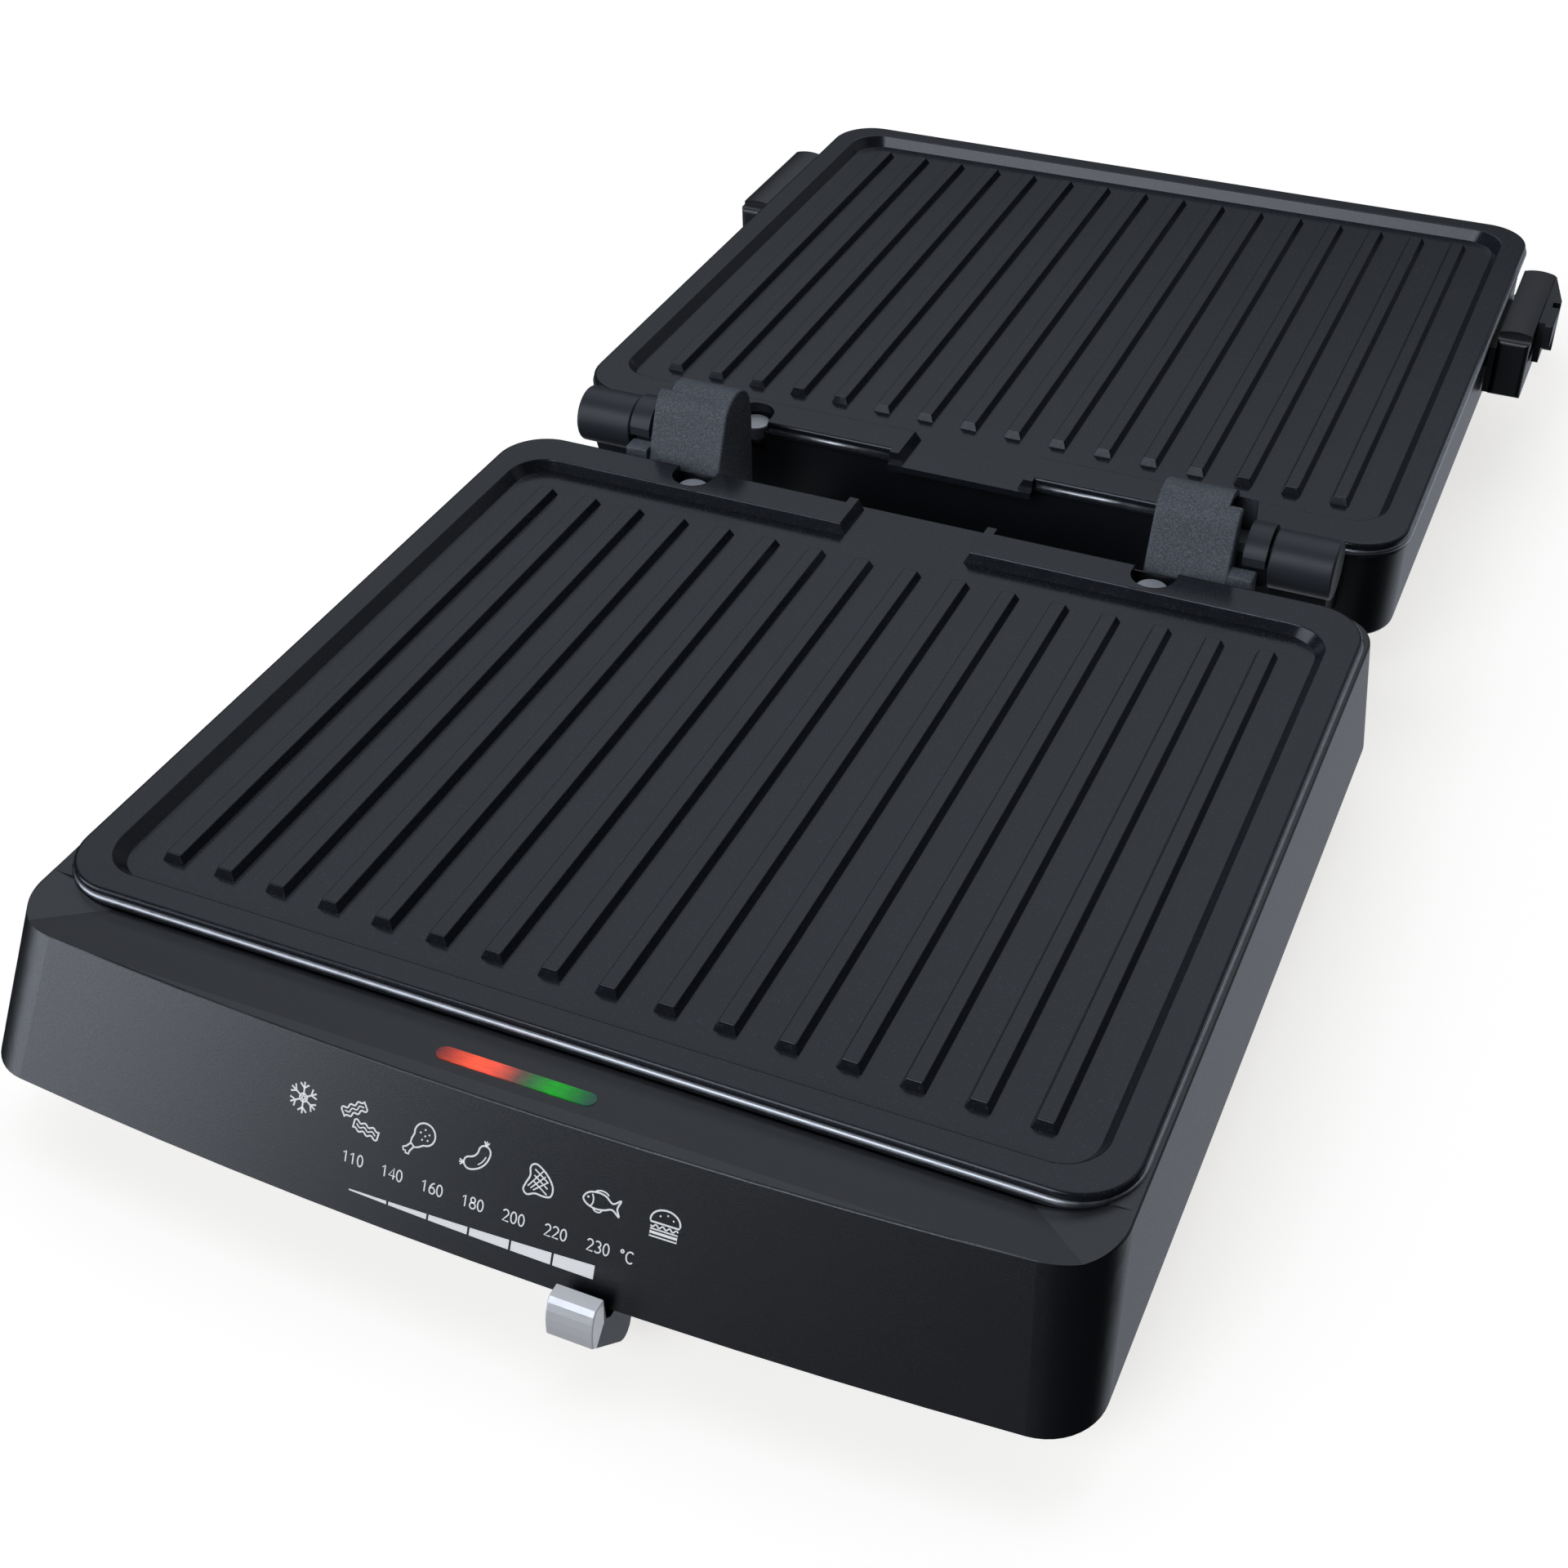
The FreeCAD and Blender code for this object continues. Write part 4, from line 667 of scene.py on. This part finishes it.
# Lines of each character and whether they close, y upwards, 1.6 high and about 1 wide
GLYPHS = {
    "0": (ring(0.5, 0.8, 0.40, 0.8, 23),),
    "1": (([(0.12, 1.25), (0.50, 1.6), (0.50, 0.0)], False),),
    "2": ((arc(0.46, 1.16, 0.40, 0.44, 160, -35, 12) + [(0.06, 0.0), (0.94, 0.0)], False),),
    "3": ((arc(0.42, 1.20, 0.40, 0.40, 140, -80, 12)
           + arc(0.42, 0.42, 0.46, 0.42, 80, -140, 12), False),),
    "4": (([(0.74, 0.0), (0.74, 1.6), (0.04, 0.46), (1.0, 0.46)], False),),
    "6": (([(0.82, 1.58), (0.50, 1.42), (0.24, 1.08), (0.11, 0.62)], False),
          ring(0.51, 0.46, 0.41, 0.46, 20)),
    "8": (ring(0.5, 1.22, 0.33, 0.38, 18), ring(0.5, 0.43, 0.42, 0.43, 18)),
    "C": ((arc(0.66, 0.8, 0.56, 0.8, 48, 312, 16), False),),
    "o": (ring(0.62, 1.38, 0.20, 0.20, 13),),
}


def add_numbers():
    """Dial numbers, drawn in strokes on the panel's curve; the small o is the degree sign."""
    bm = bmesh.new()
    for text, middle in NUMBERS:
        row = ROW_S + ROW_TILT * middle
        for i, character in enumerate(text):
            left = middle + GLYPH_UNIT * (GLYPH_ADVANCE * (i - len(text) / 2) + GLYPH_SIDE)
            for line, closed in GLYPHS[character]:
                points = [(left + GLYPH_UNIT * x, row + GLYPH_UNIT * (GLYPH_MIDDLE - y))
                          for x, y in line]
                stroke(bm, points, FINE, closed)
    add_piece("scale_numbers", bm, PRINT_PAINTED_GLOW, "base", smooth=False)


BAR_BLOCKS = 6
BAR_X0 = -34.1
BAR_STEP = 11.13
BAR_GAP = 0.6
BAR_FOOT = 34.75
BAR_THIN = 0.35
BAR_GROWTH = 0.0478


def add_scale_bar():
    """Blocks that grow in height towards the hot end of the slider's travel."""
    bm = bmesh.new()
    for i in range(BAR_BLOCKS):
        x0 = BAR_X0 + BAR_STEP * i
        x1 = x0 + BAR_STEP - BAR_GAP
        foot = [(x, BAR_FOOT + ROW_TILT * x) for x in (x0, x1)]
        top = [(x, s - BAR_THIN - BAR_GROWTH * (x - BAR_X0)) for x, s in foot]
        solid_patch(bm, foot + top[::-1])
    add_piece("scale_bar", bm, PRINT_PAINTED_GLOW, "base", smooth=False)


# ---- studio -----------------------------------------------------------------------------------
FLOOR_HALF = 6.0
FLOOR_COLOUR = (0.84, 0.80, 0.75, 1.0)
FLOOR_GLOW = 0.73


def add_floor():
    mesh = bpy.data.meshes.new("floor")
    corners = [(x * FLOOR_HALF, y * FLOOR_HALF, 0) for x, y in ((-1, -1), (1, -1), (1, 1), (-1, 1))]
    mesh.from_pydata(corners, [], [(0, 1, 2, 3)])
    floor = bpy.data.objects.new("floor", mesh)
    bpy.context.scene.collection.objects.link(floor)
    n = Nodes("floor")
    n.set(Base_Color=FLOOR_COLOUR, Roughness=0.9, Specular_IOR_Level=0.1,
          Emission_Color=WARM_WHITE, Emission_Strength=FLOOR_GLOW)
    floor.visible_diffuse = False
    floor.visible_glossy = False
    mesh.materials.append(n.material)


AMBIENT = 0.012
LIGHT_TINT = (0.93, 1.0, 1.12, 1.0)
SOFTBOXES = (
    # direction, half-angle fully lit, half-angle where it ends, strength
    ((-0.25, 0.43, 0.86), 15, 45, 0.63),
    ((0.5, 0.55, 0.67), 15, 45, 0.20),
    ((-0.79, -0.60, 0.08), 15, 27, 2.15),
    ((0.15, 0.75, -0.62), 25, 55, 0.50),
    ((-0.24, -0.74, 0.63), 9, 18, 3.2),
    ((-0.24, -0.90, 0.31), 5, 9, 2.4),
    ((-0.10, -0.78, -0.50), 15, 40, 0.08),
)


def add_world():
    """Studio of soft boxes: each one is a soft-edged disc of light in the surroundings."""
    world = bpy.data.worlds.new("studio")
    world.use_nodes = True
    tree = world.node_tree
    direction = tree.nodes.new("ShaderNodeTexCoord").outputs["Generated"]
    total = None
    for toward, inner, outer, strength in SOFTBOXES:
        product = tree.nodes.new("ShaderNodeVectorMath")
        product.operation = "DOT_PRODUCT"
        product.inputs[1].default_value = Vector(toward).normalized()
        tree.links.new(direction, product.inputs[0])
        fade = tree.nodes.new("ShaderNodeMapRange")
        fade.interpolation_type = "SMOOTHSTEP"
        fade.inputs["From Min"].default_value = math.cos(math.radians(outer))
        fade.inputs["From Max"].default_value = math.cos(math.radians(inner))
        fade.inputs["To Max"].default_value = strength
        tree.links.new(product.outputs["Value"], fade.inputs["Value"])
        add = tree.nodes.new("ShaderNodeMath")
        add.operation = "ADD"
        add.inputs[1].default_value = AMBIENT
        if total:
            tree.links.new(total, add.inputs[1])
        tree.links.new(fade.outputs["Result"], add.inputs[0])
        total = add.outputs["Value"]
    background = tree.nodes["Background"]
    background.inputs["Color"].default_value = LIGHT_TINT
    tree.links.new(total, background.inputs["Strength"])
    bpy.context.scene.world = world


add_camera()
dress_cad_nodes()
add_beads()
add_numbers()
add_scale_bar()
add_pictograms()
add_floor()
add_world()
bpy.context.scene.view_settings.view_transform = "Standard"
